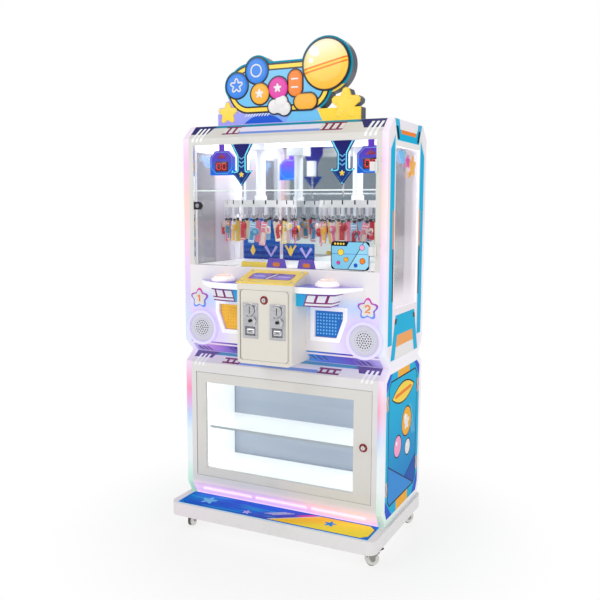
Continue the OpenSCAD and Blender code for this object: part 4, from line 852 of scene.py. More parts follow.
node_finishes = {
    "base_plinth": plinth_finish(),
    "lower_carcass": cabinet_paint,
    "upper_carcass": cabinet_paint,
    "upper_front_frame": cabinet_paint,
    "edge_lights": diffuser_finish(),
    "kick_light_bars": moulded("lit_pink", ink(100, 84, 96), 0.28, 0.3, 0.6),
    "side_panels": side_finish(),
    "side_windows": clear("side_sheet", ink(97.5, 98, 98.5), 0.55, 1.0),
    "play_door_glass": clear_sheet,
    "showcase_glass": clear_sheet,
    "showcase_door": door_paint,
    "rear_door": door_paint,
    "showcase_liner": liner_finish(),
    "showcase_shelf": case_shelf_finish(),
    "play_mirror": mirror_finish(),
    "play_door_fittings": fitting_finish(),
    "console_panel": console_finish(),
    "control_shelves": shelf_finish(),
    # The prize flaps carry a faint painted glow of their colour
    "prize_flap_left": moulded("flap_yellow", ink(97, 74, 20), 0.26, 0.4, 0.12),
    "prize_flap_right": moulded("flap_blue", ink(3, 44, 78), 0.3, 0.2, 0.1),
    "prize_chutes": white_gloss,
    "speakers": speaker_finish(),
    "speaker_rings": moulded("lit_lavender", ink(87, 84, 99), 0.3, 0.2, 0.24),
    "coin_box": moulded("coin_box_paint", ink(92, 90, 86), 0.36, 0.15),
    "coin_door": coin_door_finish(),
    "coin_bezel": bezel_finish(),
    "coin_mechs": mech_metal,
    "cash_box": metal("drawn_tray_steel", ink(58, 59, 61), 0.42, (500.0, 20.0, 20.0)),
    "control_unit": grey_satin,
    "power_inlet": black_satin,
    "sign_case": moulded("case_grey", ink(36, 38, 42), 0.4, 0.1),
    "sign_face": sign_face_finish(),
    "hanging_signs": hanging_finish(),
    "carousel_drives": white_gloss,
    "caster_plates": chrome,
    "coin_lock": chrome,
    "showcase_lock": chrome,
    "play_door_lock": chrome,
}
for side in sides:
    node_finishes[f"start_button_{side}"] = start_dome
    node_finishes[f"reject_button_{side}"] = black_satin
    node_finishes[f"return_flap_{side}"] = grey_satin
    node_finishes[f"release_pusher_{side}"] = chrome
    node_finishes[f"carousel_{side}"] = carousel_gloss
    node_finishes[f"prizes_{side}"] = white_gloss
for corner in ("fl", "fr", "rl", "rr"):
    node_finishes[f"caster_fork_{corner}"] = fork_zinc
    node_finishes[f"caster_wheel_{corner}"] = wheel_finish(f"caster_wheel_{corner}")
for corner in ("fl", "fr"):
    node_finishes[f"caster_brake_{corner}"] = black_satin
for name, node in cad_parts.items():
    for holder in node.material_slots:
        holder.material = node_finishes[name]


def unit(vectors):
    """Vectors divided by their own lengths."""
    return vectors / np.linalg.norm(vectors, axis=-1, keepdims=True)


class Plane:
    """A flat place: a point, the way to the right and the way up; out is right crossed with up."""

    def __init__(self, origin, right=(1.0, 0.0, 0.0), up=(0.0, 0.0, 1.0)):
        self.origin = np.array(origin, float)
        self.right = np.array(right, float)
        self.up = np.array(up, float)
        self.out = np.cross(self.right, self.up)

    def __call__(self, outline, height):
        """Points of an outline at a height: the origin plus their shares of right, up and out."""
        return self.origin + outline[:, :1] * self.right + outline[:, 1:] * self.up + height * self.out


def facing_front(y):
    """An upright plane at this y, its outlines written in x and z."""
    return Plane((0.0, y, 0.0))


def facing_up(z):
    """A level plane at this z, its outlines written in x and y."""
    return Plane((0.0, 0.0, z), up=(0.0, 1.0, 0.0))


def around(steps):
    """Angles evenly spaced round a circle, and the unit vectors that point along them."""
    angle = np.linspace(0.0, full_turn, steps, endpoint=False)
    return angle, np.stack([np.cos(angle), np.sin(angle)], 1)


def circle(centre, radius, steps=48):
    """Points at one radius, evenly spaced by angle."""
    return np.array(centre) + radius * around(steps)[1]


def star(centre, radius, dent=0.24, steps=80):
    """Five rounded points: the radius swings with the cosine of five times the angle."""
    angle, pointing = around(steps)
    reach = radius * (1.0 - dent + dent * np.cos(5.0 * angle - math.pi / 2))
    return np.array(centre) + reach[:, None] * pointing


def stadium(centre, length, height, steps=20):
    """Two half circles joined by straight sides, along the longer way."""
    radius = min(length, height) / 2
    reach = np.array([length / 2 - radius, height / 2 - radius])
    angle = np.linspace(-math.pi / 2, 1.5 * math.pi, 2 * steps, endpoint=False) + math.pi / (2 * steps)
    pointing = np.stack([np.cos(angle), np.sin(angle)], 1)
    return np.array(centre) + radius * pointing + np.sign(pointing) * reach


def rounded(corners, radius, steps=5):
    """A polygon whose corners are quadratic curves between points one radius along both edges."""
    corners = np.array(corners, float)
    start = corners + radius * unit(np.roll(corners, 1, 0) - corners)
    end = corners + radius * unit(np.roll(corners, -1, 0) - corners)
    t = np.linspace(0.0, 1.0, steps)[None, :, None]
    curve = (1 - t) ** 2 * start[:, None] + 2 * t * (1 - t) * corners[:, None] + t ** 2 * end[:, None]
    return curve.reshape(-1, 2)


def oblong(centre, width, height, radius):
    """A rectangle about a centre, half its width and height to either side, with rounded corners."""
    half = np.array([[-1, -1], [1, -1], [1, 1], [-1, 1]]) * (width / 2, height / 2)
    return rounded(np.array(centre) + half, radius)


def ribbon(path, width):
    """The outline of an open path drawn with a broad pen: half the width to both sides of it."""
    path = np.array(path, float)
    way = unit(np.gradient(path, axis=0))
    side = np.stack([-way[:, 1], way[:, 0]], 1) * width / 2
    return np.concatenate([path - side, (path + side)[::-1]])


def heart(centre, radius, steps=40):
    """The heart curve: sine cubed across, four cosines up."""
    t = around(steps)[0]
    across = 16.0 * np.sin(t) ** 3
    up = 13.0 * np.cos(t) - 5.0 * np.cos(2 * t) - 2.0 * np.cos(3 * t) - np.cos(4 * t)
    return np.array(centre) + radius / 16.0 * np.stack([across, up], 1)[::-1]


def turned(outline, centre, angle):
    """The outline turned about a centre: its offsets multiplied by the matrix of the angle."""
    cosine, sine = math.cos(angle), math.sin(angle)
    return (outline - centre) @ np.array([[cosine, sine], [-sine, cosine]]) + centre


def inward(outline, distance):
    """The outline drawn in: each point moves along the mitre of its two edges' inner normals."""
    least_spread = 0.3
    ahead = unit(np.roll(outline, -1, 0) - outline)
    normal = np.stack([-ahead[:, 1], ahead[:, 0]], 1)
    mean = normal + np.roll(normal, 1, 0)
    return outline + distance * mean / np.maximum((mean * normal).sum(1, keepdims=True), least_spread)


def quads(rows, columns, ring=False):
    """Faces of a grid whose rows are closed loops; ring also joins the last row to the first."""
    index = np.arange(rows * columns).reshape(rows, columns)
    lower = index if ring else index[:-1]
    upper = np.roll(index, -1, 0) if ring else index[1:]
    return np.stack([lower, np.roll(lower, -1, 1), np.roll(upper, -1, 1), upper], -1).reshape(-1, 4).tolist()


def skin(levels):
    """A closed skin over loops of equal length, with a cap on the first and on the last."""
    levels = np.array(levels)
    rows, columns = levels.shape[:2]
    caps = [list(range(columns))[::-1], list(range((rows - 1) * columns, rows * columns))]
    return levels.reshape(-1, 3), quads(rows, columns) + caps


def plate(plane, outline, high, edge=0.0006, rise=None, steps=4, low=0.0):
    """A plate: the outline stands from low up to a quarter ellipse that draws it in by edge over rise."""
    rise = edge if rise is None else rise
    turn = np.linspace(0.0, math.pi / 2, steps)
    drawn_in = np.r_[0.0, edge * (1.0 - np.cos(turn))]
    level = np.r_[low, high - rise + rise * np.sin(turn)]
    return skin([plane(inward(outline, inset), height) for inset, height in zip(drawn_in, level)])


def plates(plane, outlines, high, *shape, low=0.0):
    """A plate of the same build on every outline."""
    return [plate(plane, outline, high, *shape, low=low) for outline in outlines]


def dome(plane, centre, radius, low, high, steps=6, sides_round=32):
    """A round button: loops on a quarter ellipse from low to high, capped just short of the crown."""
    turn = np.linspace(0.0, math.radians(84.0), steps)
    loops = [circle(centre, radius * math.cos(t), sides_round) for t in turn]
    return skin([plane(loop, low + (high - low) * math.sin(t)) for loop, t in zip(loops, turn)])


def bead(plane, outline, width, height, low=0.0, steps=7):
    """A raised line along a closed outline: half an ellipse of that width and height, closed underneath."""
    turn = np.linspace(0.0, math.pi, steps)
    loops = [plane(inward(outline, -width / 2 * math.cos(t)), low + height * math.sin(t)) for t in turn]
    return np.concatenate(loops), quads(steps, len(outline), ring=True)


def hoop(plane, centre, radius, wire, sides_round=24, steps=8):
    """A ring of round wire: circles whose radius and height go once round the section of the wire."""
    turn = around(steps)[0]
    loops = [circle(centre, radius + wire * math.cos(t), sides_round) for t in turn]
    points = [plane(loop, wire * math.sin(t)) for loop, t in zip(loops, turn)]
    return np.concatenate(points), quads(steps, sides_round, ring=True)


def piece(name, slot, material, parts, body="cabinet", tints=None):
    """One object from several skins, riding a body; tints give every skin its own colour."""
    counts = [len(points) for points, _ in parts]
    starts = np.cumsum([0] + counts[:-1])
    faces = [[index + start for index in face] for (_, loops), start in zip(parts, starts) for face in loops]
    mesh = bpy.data.meshes.new(name)
    mesh.from_pydata(np.concatenate([points for points, _ in parts]), [], faces)
    mesh.polygons.foreach_set("use_smooth", np.ones(len(mesh.polygons), bool))
    mesh.set_sharp_from_angle(angle=math.radians(38.0))
    if tints:
        colours = np.repeat(np.array(tints), counts, axis=0)
        mesh.attributes.new("tint", "FLOAT_COLOR", "POINT").data.foreach_set("color", colours.ravel())
    mesh.materials.append(material)
    made = bpy.data.objects.new(name, mesh)
    bpy.context.scene.collection.objects.link(made)
    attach(made, body)
    return made


def screws(plane, places, radius):
    """Pan-head screws: at each place a dome a little under half as high as its radius."""
    return [dome(plane, place, radius, 0.0, radius * 0.45, 4, 16) for place in places]


# Floor deck
deck_outline = oblong((0.0, deck_y), 2.0 * deck_half_x, 2.0 * deck_half_y, 0.012)
piece("deck_print", "side_print", deck_finish(), [plate(facing_up(deck_z), deck_outline, 0.0012)])

# Topper sign, layer upon layer
sign = facing_front(sign_front_y)


def layer(outline, inset, high, *shape):
    """A plate of the sign, its outline drawn in by the inset."""
    return plate(sign, inward(outline, inset), high, *shape)


foot = oblong((0.0, 1.6335), 0.596, 0.045, 0.006)
oval = stadium((-0.035, 1.741), 0.44, 0.194)
capsule = circle((capsule_x, capsule_z), 0.101, 72)
little_capsule = stadium((0.082, 1.684), 0.09, 0.056)
star_block, ring_block = (-0.208, 1.757), (-0.122, 1.807)
gold_block, pink_block = (-0.108, 1.722), (-0.031, 1.738)
blue_blocks = [circle(star_block, 0.058), circle(ring_block, 0.058)]
small_blocks = {
    "gold": (circle(gold_block, 0.038), amber_print),
    "pink": (circle(pink_block, 0.04), magenta_print),
    "orange": (stadium((0.04, 1.752), 0.056, 0.094), orange_print),
}
cloud = [circle(at, 0.026) for at in ((-0.047, 1.672), (-0.024, 1.672), (-0.005, 1.664), (-0.018, 1.687))]
piece("sign_foot", "sign_print", sign_foot_finish(), [layer(foot, 0.003, 0.0012)])
dark_parts = [
    layer(oval, 0.006, 0.0015),
    layer(oval, 0.027, 0.0034),
    layer(capsule, 0.006, 0.006),
    layer(little_capsule, -0.006, 0.0062),
]
dark_parts += [layer(block, 0.006, 0.0052) for block in blue_blocks]
dark_parts += [layer(block, -0.006, 0.0056) for block, _ in small_blocks.values()]
dark_parts += [layer(puff, -0.005, 0.0054) for puff in cloud]
piece("sign_outlines", "sign_dark", dark_print, dark_parts)
piece("sign_ring", "sign_print", yellow_print, [layer(oval, 0.013, 0.0026)])
piece("sign_oval", "sign_print", sky_print, [layer(oval, 0.033, 0.0042)])
blue_parts = [layer(block, 0.012, 0.0105, 0.01, 0.005, 6) for block in blue_blocks]
piece("sign_blue_blocks", "sign_print", blue_print, blue_parts)
for name, (block, material) in small_blocks.items():
    piece(f"sign_{name}_block", "sign_print", material, [plate(sign, block, 0.0105, 0.009, 0.0045, 6)])
white_parts = [plate(sign, puff, 0.0086 + 0.0005 * step, 0.006, 0.003, 5) for step, puff in enumerate(cloud)]
white_parts += [
    bead(sign, star(star_block, 0.026), 0.006, 0.002, 0.01),
    bead(sign, circle(ring_block, 0.022), 0.006, 0.002, 0.01),
    plate(sign, star(pink_block, 0.017), 0.0118),
    plate(sign, ribbon([(0.026, 1.737), (0.054, 1.737)], 0.006), 0.0116),
    plate(sign, ribbon([(0.026, 1.767), (0.054, 1.767)], 0.006), 0.0116),
    plate(sign, star(gold_block, 0.018), 0.0118),
]
piece("sign_white_marks", "sign_print", white_print, white_parts)
piece("sign_capsule", "sign_print", ball_finish(), [layer(capsule, 0.013, 0.015, 0.03, 0.008, 9)])
little_parts = [plate(sign, little_capsule, 0.011, 0.01, 0.0045, 6)]
piece("sign_little_capsule", "sign_print", amber_print, little_parts)
star_parts = [
    plate(sign, star(small_star, 0.042, 0.19), 0.0045, 0.004, 0.0025),
    plate(sign, star(large_star, 0.057, 0.19), 0.004, 0.006, 0.0025),
    bead(sign, star(large_star, 0.036, 0.19), 0.005, 0.0014, 0.004),
]
piece("sign_stars", "sign_print", yellow_print, star_parts)

# Play case: light, guard rail, back boards and front strips
ceiling = Plane((0.0, 0.0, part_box("carousel_drives")[1].z - 0.001), up=(0.0, -1.0, 0.0))
lamps = [oblong((x, -0.075), 0.17, 0.2, 0.012) for x in (-0.33, 0.0, 0.33)]
piece("ceiling_lamps", "light_bar", lit_ceiling, plates(ceiling, lamps, 0.004))
rail_outline = oblong((0.0, -0.122), 0.79, 0.03, 0.003)
piece("guard_rail", "clear_panel", frosted_rail, [plate(facing_up(guard_rail_z), rail_outline, 0.004)])
back = facing_front(mirror_front_y)
board_spans = [
    (-0.396, -0.303, 1.247), (-0.299, -0.219, 1.24), (-0.2, -0.126, 1.142), (-0.126, -0.052, 1.142),
]
boards = [
    oblong(((left + right) / 2, (play_floor_z + top) / 2), right - left, top - play_floor_z, 0.004)
    for left, right, top in board_spans]
piece("back_boards", "sign_print", decor_finish(), plates(back, boards, 0.004, low=0.0005))


def chevron(middle, arm, tip, width):
    """A V on its tip: a ribbon over two arms that rise one and a half times their reach."""
    path = [(middle - arm, tip + 1.5 * arm), (middle, tip), (middle + arm, tip + 1.5 * arm)]
    return plate(back, ribbon(path, width), 0.005)


chevron_parts, accent_parts = [], []
for number, (left, right, top) in enumerate(board_spans):
    middle = (left + right) / 2
    arm = (right - left) / 2 - 0.012
    if number % 2:
        accent_parts.append(chevron(middle, arm, 1.086, 0.013))
    else:
        drop = [(middle, 1.084), (middle + 0.014, 1.106), (middle, 1.136), (middle - 0.014, 1.106)]
        chevron_parts.append(plate(back, rounded(drop, 0.007), 0.0055, 0.002))
        chevron_parts.append(chevron(middle, arm, top - 0.008 - 1.5 * arm, 0.009))
piece("board_chevrons", "bezel_yellow", yellow_print, chevron_parts)
piece("board_accents", "sign_print", lavender_print, accent_parts)
sill = facing_front(sill_front_y)
strip = oblong((-0.12, 1.08), 0.11, 0.019, 0.003)
piece("front_strip", "bezel_yellow", yellow_print, [plate(sill, strip, 0.003)])
gates = [
    [(-0.066, 1.0705), (0.022, 1.0705), (0.012, 1.105), (-0.056, 1.105)],
    [(0.065, 1.0705), (0.142, 1.0705), (0.133, 1.105), (0.074, 1.105)],
]
gates = [rounded(gate, 0.006) for gate in gates]
piece("front_gates", "shelf_purple", violet_print, plates(sill, gates, 0.003))
gate_marks = [oblong((x, 1.083), 0.03, 0.016, 0.007) for x in (-0.022, 0.104)]
piece("gate_marks", "flap_yellow", orange_print, plates(sill, gate_marks, 0.0045, 0.002))

# Stickers on the side windows
window_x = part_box("side_windows")[1].x
stickers = {
    "amber": (amber_print, [star((0.135, 1.452), 0.042, 0.19), circle((0.098, 1.42), 0.013)]),
    "sky": (sky_print, [circle((0.022, 1.482), 0.024), circle((-0.012, 1.494), 0.013)]),
    "pink": (magenta_print, [star((0.078, 1.468), 0.026, 0.19)]),
}
for tint, (material, outlines) in stickers.items():
    stuck = []
    for way in ways:
        window = Plane((way * window_x, 0.0, 0.0), (0.0, way, 0.0))
        seen_from = [(outline * (way, 1.0))[::way] for outline in outlines]
        stuck += plates(window, seen_from, 0.0006, 0.0002)
    piece(f"window_stickers_{tint}", "sign_print", material, stuck)

# Arrow signs and score boards
arrow_half = [(0.0, 1.38), (0.048, 1.44), (0.022, 1.44), (0.022, 1.496), (0.048, 1.542), (0.048, 1.594)]
arrow = np.array(arrow_half + [(-x, z) for x, z in arrow_half[:0:-1]])
arrows = facing_front(arrow_front_y)
keylines, chevrons, sparks = [], [], []
for way in ways:
    shift = np.array([way * carousel_x, 0.0])
    keylines.append(bead(arrows, inward(rounded(arrow + shift, 0.003), 0.006), 0.005, 0.0018))
    for z in (1.452, 1.468, 1.484):
        path = [(-0.011, z + 0.008), (0.0, z), (0.011, z + 0.008)] + shift
        chevrons.append(plate(arrows, ribbon(path, 0.004), 0.0015, 0.0004))
    sparks.append(plate(arrows, star(shift + (0.0, 1.424), 0.011), 0.003, 0.001))
    sparks.append(plate(arrows, star(shift + (-0.012, 1.56), 0.006), 0.002, 0.0006))
piece("arrow_keylines", "light_bar", lit_cyan, keylines)
piece("arrow_chevrons", "sign_print", sky_print, chevrons)
piece("arrow_stars", "bezel_yellow", yellow_print, sparks)
score_face = facing_front(display_front_y)
windows = [oblong((way * score_x, score_z), 0.06, 0.04, 0.004) for way in ways]
piece("score_windows", "black_plastic", window_red, plates(score_face, windows, 0.0025))
stroke_width = 0.0028
segments = []
for way in ways:
    for digit_x in (-0.013, 0.013):
        at = np.array([way * score_x + digit_x, score_z])
        segments += [ribbon(at + [(-0.006, z), (0.006, z)], stroke_width) for z in (-0.012, 0.012)]
        segments += [
            ribbon(at + [(x, z - 0.0048), (x, z + 0.0048)], stroke_width)
            for x in (-0.0085, 0.0085) for z in (-0.006, 0.006)]
piece("score_digits", "light_bar", lit_red, plates(score_face, segments, 0.0035, 0.0004))
gable = np.array([(-0.022, 1.49), (0.022, 1.49), (0.0, 1.508)])
gables = [rounded(gable + (way * score_x, 0.0), 0.004) for way in ways]
piece("score_gables", "lock_red", gable_red, plates(score_face, gables, 0.002))

# Console: player badges, bezel screws, coin plates and locks
console = facing_front(front_y)
digit_paths = {
    "left": [(-0.006, 0.006), (0.002, 0.013), (0.002, 0.004), (0.002, -0.013)],
    "right": [(-0.009, 0.006), (-0.005, 0.012), (0.003, 0.013), (0.009, 0.008), (0.008, 0.001),
              (-0.009, -0.012), (0.01, -0.012)],
}
badge_places = {side: np.array([way * 0.357, 0.938]) for side, way in sides.items()}
badges = [star(centre, 0.041, 0.16) for centre in badge_places.values()]
badge_faces = [star(centre, 0.033, 0.16) for centre in badge_places.values()]
numbers = [ribbon(digit_paths[side] + centre, 0.0058) for side, centre in badge_places.items()]
piece("player_badges", "sign_print", badge_finish(), plates(console, badges, 0.003, 0.002))
piece("player_badge_faces", "console_white", white_print, plates(console, badge_faces, 0.0042, 0.001))
piece("player_numbers", "bezel_yellow", orange_print, plates(console, numbers, 0.0056, 0.0008))
bezel_slope = unit(np.array([0.0, bezel_run, bezel_climb]))
bezel_top = Plane((0.0, coin_front_y - 0.0015, bezel_foot_z), up=bezel_slope)
bezel_bolts = [(x, up) for x in (-0.106, 0.106) for up in (0.014, 0.112)]
piece("bezel_screws", "lock_steel", chrome, screws(bezel_top, bezel_bolts, 0.0042))
mechs = facing_front(mech_front_y)
mech_bolts = [(way * mech_x + x, z) for way in ways for x in (-0.025, 0.025) for z in (0.826, 0.942)]
piece("mech_screws", "lock_steel", chrome, screws(mechs, mech_bolts, 0.0035), "coin_door")
cup_rims = [bead(mechs, oblong((way * mech_x, 0.846), 0.05, 0.038, 0.006), 0.003, 0.0014) for way in ways]
piece("cup_rims", "mech_metal", mech_metal, cup_rims, "coin_door")
boss_rings = [bead(mechs, circle((way * mech_x, 0.924), 0.0225), 0.004, 0.0025) for way in ways]
piece("boss_rings", "lock_steel", chrome, boss_rings, "coin_door")
coin_slots = [oblong((way * mech_x - 0.004, 0.9015), 0.022, 0.0042, 0.001) for way in ways]
piece("mech_slots", "black_plastic", black_satin, plates(mechs, coin_slots, 0.0012, 0.0003), "coin_door")
lever_path = np.array([(0.011, 0.897), (0.02, 0.886), (0.017, 0.872)])
levers = [ribbon(lever_path + (way * mech_x, 0.0), 0.01) for way in ways]
piece("mech_levers", "lock_steel", chrome, plates(mechs, levers, 0.0075, 0.003, 0.003), "coin_door")
for side, way in sides.items():
    scoop_face = facing_front(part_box(f"return_flap_{side}")[0].y)
    scoop = plate(scoop_face, oblong((way * mech_x, 0.845), 0.036, 0.022, 0.006), 0.0055, 0.008, 0.005, 6)
    piece(f"return_scoop_{side}", "lock_steel", chrome, [scoop], f"return_flap_{side}")
lock_places = {
    "coin_lock": (0.0, 0.962), "showcase_lock": (0.34676, 0.4245), "play_door_lock": (-0.358, 1.3025),
}
lock_bodies = {"coin_lock": "coin_lock", "showcase_lock": "showcase_lock", "play_door_lock": "play_lock"}
for door, face in {"coin": facing_front(coin_front_y), "showcase": console}.items():
    collar = bead(face, circle(lock_places[f"{door}_lock"], 0.0125), 0.007, 0.003)
    piece(f"{door}_lock_collar", "lock_red", red_metal, [collar], f"{door}_door")
for node, place in lock_places.items():
    face = facing_front(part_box(node)[0].y)
    keyhole = plate(face, oblong(place, 0.0016, 0.0075, 0.0005), 0.0003, 0.0001, low=-0.0003)
    piece(f"{node}_keyhole", "black_plastic", black_satin, [keyhole], lock_bodies[node])

# Raised studs on the prize flaps
flap_face = facing_front(flap_front_y)
stud_rows = np.meshgrid(np.linspace(0.158, 0.254, 9), np.linspace(0.836, 0.908, 7))
stud_grid = np.stack(stud_rows, -1).reshape(-1, 2)
stud_places = stud_grid[(stud_grid[:, 0] < 0.236) | (stud_grid[:, 1] > 0.888)]
stud_prints = {"left": ("flap_yellow", amber_print), "right": ("flap_blue", sky_print)}
for side, way in sides.items():
    slot, material = stud_prints[side]
    studs = [dome(flap_face, (way * x, z), 0.0036, -0.0002, 0.0016, 3, 12) for x, z in stud_places]
    piece(f"flap_studs_{side}", slot, material, studs, f"prize_flap_{side}")

# Guide card on the play door
card_outline = oblong((card_x, card_z), 0.149, 0.103, 0.014)
piece("guide_card", "sign_print", card_finish(), [plate(console, card_outline, 0.0012, 0.0004)], "play_door")

# Key fobs, hung round each carousel
fob_tints = [
    ink(86, 15, 22), ink(97, 66, 78), ink(95, 84, 36), ink(60, 79, 94),
    ink(93, 60, 22), ink(70, 60, 88), ink(98, 56, 66), ink(97, 87, 89),
    ink(86, 28, 54), ink(95, 86, 70),
]
charm_tints = [
    ink(97, 90, 84), ink(95, 45, 60), ink(25, 62, 80), ink(96, 76, 22), ink(82, 14, 22),
]
ring_tint = ink(80, 80, 82)
crimp_tint = ink(22, 20, 22)
fob_top_z, ring_z = 1.2428, 1.2638


def charm_outline(kind, centre):
    """One of five plain charm shapes about a centre."""
    shapes = (heart(centre, 0.015), star(centre, 0.017), circle(centre, 0.0145, 28),
              stadium(centre, 0.021, 0.03, 12), rounded(circle(centre, 0.0155, 6), 0.003))
    return shapes[kind % len(shapes)]


def fob(plane, length, drop, kind, tilt, tint, charm_tint):
    """A split ring and a crimp, a stitched strap turned about its top, and a charm on a cord before it."""
    top = np.array([0.0, fob_top_z])
    strap_top = top + (-0.003, 0.0)
    cord_top = top + (0.007, 0.001)
    charm_at = top + (0.008, -drop)

    def on_strap(share, width, height, radius):
        """A patch whose middle lies a share of the length down the strap, turned with it."""
        return turned(oblong(strap_top + (0.0, -length * share), width, height, radius), strap_top, tilt)

    crimp = oblong(top + (0.0, 0.003), 0.012, 0.012, 0.002)
    strap = on_strap(0.5, 0.0255, length, 0.005)
    loop = oblong((cord_top + top) / 2, 0.009, 0.002, 0.0008)
    cord = ribbon([cord_top, charm_at + (0.0, 0.006)], 0.0016)
    charm = turned(charm_outline(kind, charm_at), charm_at, -2.0 * tilt)
    bars = [on_strap(share, 0.019, 0.0032, 0.001) for share in (0.14, 0.26, 0.9)]
    tinted = [
        (ring_tint, hoop(plane, (0.0, ring_z), 0.0115, 0.0015)),
        (crimp_tint, plate(plane, crimp, 0.0032, 0.0008, low=-0.0032)),
        (tint, plate(plane, strap, 0.0018, low=-0.0018)),
        (white, bead(plane, inward(strap, 0.0024), 0.0014, 0.0008, 0.0016, 4)),
        (charm_tint, plate(plane, on_strap(0.66, 0.015, length * 0.4, 0.003), 0.0026, 0.0004)),
        (ring_tint, plate(plane, loop, 0.0008, 0.0003, low=-0.0008)),
        (ring_tint, plate(plane, oblong(cord_top, 0.002, 0.002, 0.0008), 0.0126, 0.0003)),
        (ring_tint, plate(plane, cord, 0.0126, 0.0003, low=0.011)),
        (charm_tint, plate(plane, charm, 0.018, 0.005, 0.005, 6, low=0.005)),
        (tint, plate(plane, inward(charm, 0.0062), 0.0192, 0.001, 0.001, 3, low=0.011)),
    ]
    return tinted + [(white, bar) for bar in plates(plane, bars, 0.0024, 0.0004)]


chance = np.random.default_rng(seed=7)
fob_material = fob_finish()
for side, way in sides.items():
    hung = []
    for place in range(fobs_per_carousel):
        angle = place * full_turn / fobs_per_carousel - math.pi / 2
        out = np.array([math.cos(angle), math.sin(angle), 0.0])
        at = np.array([way * carousel_x, carousel_y, 0.0]) + carousel_r * out
        plane = Plane(at, (-out[1], out[0], 0.0))
        length = 0.076 + 0.005 * ((2 * place) % 5)
        drop = 0.02 + 0.007 * ((3 * place) % 4)
        tint = fob_tints[3 * place % len(fob_tints)]
        charm_tint = charm_tints[chance.integers(len(charm_tints))]
        kind = place + int(chance.integers(5))
        hung += fob(plane, length, drop, kind, chance.normal(0.0, 0.12), tint, charm_tint)
    tints, parts = zip(*hung)
    fobs = piece(f"fobs_{side}", "fob_colours", fob_material, parts, f"carousel_{side}", tints)
    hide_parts(f"prizes_{side}")

# Showcase light strips
strips = [oblong((x, side_panel_z), 0.008, 0.33, 0.003) for x in (-0.338, 0.338)]
strip_parts = plates(facing_front(case_light_y), strips, 0.0, 0.001, low=-0.008)
piece("showcase_strips", "light_bar", lit_white, strip_parts)

# Closing strips between the liner's front edge and the door opening
liner_low, liner_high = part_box("showcase_liner")
door_low, door_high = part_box("showcase_door")
closing_lap = 0.008
reach_x = door_high.x + closing_lap
low_z, high_z = door_low.z - closing_lap, door_high.z + closing_lap
upright = (reach_x - liner_high.x, high_z - low_z)
closing = [((way * (liner_high.x + reach_x) / 2, (low_z + high_z) / 2), *upright) for way in ways]
for edge_z, end_z in ((liner_low.z, low_z), (liner_high.z, high_z)):
    closing.append(((0.0, (edge_z + end_z) / 2), 2.0 * liner_high.x, abs(edge_z - end_z)))
closing = [oblong(*strip, 0.001) for strip in closing]
closing_parts = plates(facing_front(liner_low.y), closing, -0.0002, low=-0.003)
piece("liner_closing_strips", "console_white", white_print, closing_parts)

# Back of the cabinet: panel screws round the rear door
rear = Plane((0.0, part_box("rear_door")[1].y, 0.0), (-1.0, 0.0, 0.0))
rear_bolts = [(x, z) for x in (-0.36, 0.36) for z in (0.16, 0.42, 0.66, 0.8, 1.1, 1.4, 1.57)]
piece("rear_screws", "lock_steel", chrome, screws(rear, rear_bolts, 0.0042))


def stage_finish():
    """White floor that keeps the object's shadow near it and turns to plain white farther out."""
    finish = Finish("studio_floor")
    reach = disc(finish.x, finish.y, (0.0, 0.05))
    share = reach.rise(0.45, 1.1) * 0.24 + 0.76
    floor = finish.node("ShaderNodeBsdfDiffuse", {}, {"Color": ink(97, 97, 97)})
    glow = finish.node("ShaderNodeEmission", {}, {"Color": white, "Strength": 1.0})
    return finish.end(finish.node("ShaderNodeMixShader", {}, {0: share, 1: floor, 2: glow}))


def placed(across, above, behind, place):
    """The matrix of a thing at a place, from its three unit axes."""
    return Matrix.Translation(place) @ Matrix(np.stack([across, above, behind], 1).tolist()).to_4x4()


def lamp(name, place, size, power):
    """A square soft lamp at a place, facing the middle of the cabinet."""
    light = bpy.data.lights.new(name, "AREA")
    light.size = size
    light.energy = power
    holder = bpy.data.objects.new(name, light)
    toward = unit(np.array([0.0, 0.0, 0.9]) - place)
    across = unit(np.cross(toward, (0.0, 0.0, 1.0)))
    holder.matrix_world = placed(across, np.cross(across, toward), -toward, place)
    bpy.context.scene.collection.objects.link(holder)


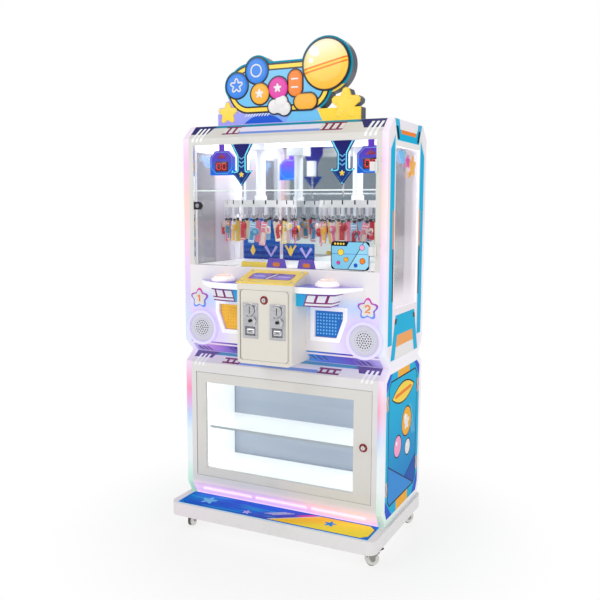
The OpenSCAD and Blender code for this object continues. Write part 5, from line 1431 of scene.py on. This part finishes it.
# Studio: a wide floor and four lamps
floor_reach = 30.0
floor_corners = [(-1, -1, 0), (1, -1, 0), (1, 1, 0), (-1, 1, 0)]
floor_mesh = bpy.data.meshes.new("studio_floor")
floor_mesh.from_pydata(floor_reach * np.array(floor_corners), [], [(0, 1, 2, 3)])
floor_mesh.materials.append(stage_finish())
floor_object = bpy.data.objects.new("studio_floor", floor_mesh)
bpy.context.scene.collection.objects.link(floor_object)
lamp("key_lamp", (-1.6, -3.2, 3.0), 2.2, 46.0)
lamp("fill_lamp", (3.0, -1.6, 2.0), 2.4, 30.0)
lamp("top_lamp", (0.0, 0.4, 4.2), 2.6, 26.0)
lamp("back_lamp", (-1.2, 3.0, 2.6), 2.0, 26.0)

# The world: white to the camera and through glass, a dimmer cool room in mirrors, dim for the rest
world = bpy.data.worlds.new("studio")
bpy.context.scene.world = world
studio = Nodes(world)
rays = ("Camera", "Glossy", "Transmission")
seen, mirrored, passed = (studio.node("ShaderNodeLightPath", output=f"Is {ray} Ray") for ray in rays)
dim, room, bright = (
    studio.node("ShaderNodeBackground", {}, {"Color": colour, "Strength": power})
    for colour, power in ((white, 0.32), (ink(93, 95, 100), 0.42), (white, 1.0)))
backdrop = studio.node("ShaderNodeMixShader", {}, {0: mirrored, 1: dim, 2: room})
backdrop = studio.node("ShaderNodeMixShader", {}, {0: seen | passed, 1: backdrop, 2: bright})
studio.node("ShaderNodeOutputWorld", {}, {"Surface": backdrop})

# Camera, fitted to the photo
camera_place = (1.33524, -2.709, 1.3034)
azimuth, pitch, roll = (math.radians(angle) for angle in (26.05, 6.979, 0.226))
level = np.array([math.cos(azimuth), math.sin(azimuth), 0.0])
ahead = np.array([-math.sin(azimuth), math.cos(azimuth), 0.0])
forward = ahead * math.cos(pitch) - np.array([0.0, 0.0, math.sin(pitch)])
plumb = np.cross(level, forward)
across = level * math.cos(roll) + plumb * math.sin(roll)
above = plumb * math.cos(roll) - level * math.sin(roll)
view = bpy.data.cameras.new("view")
view.lens = 46.15
view.sensor_width = 36.0
viewer = bpy.data.objects.new("view", view)
viewer.matrix_world = placed(across, above, -forward, camera_place)
bpy.context.scene.collection.objects.link(viewer)
bpy.context.scene.camera = viewer
bpy.context.scene.view_settings.view_transform = "Standard"
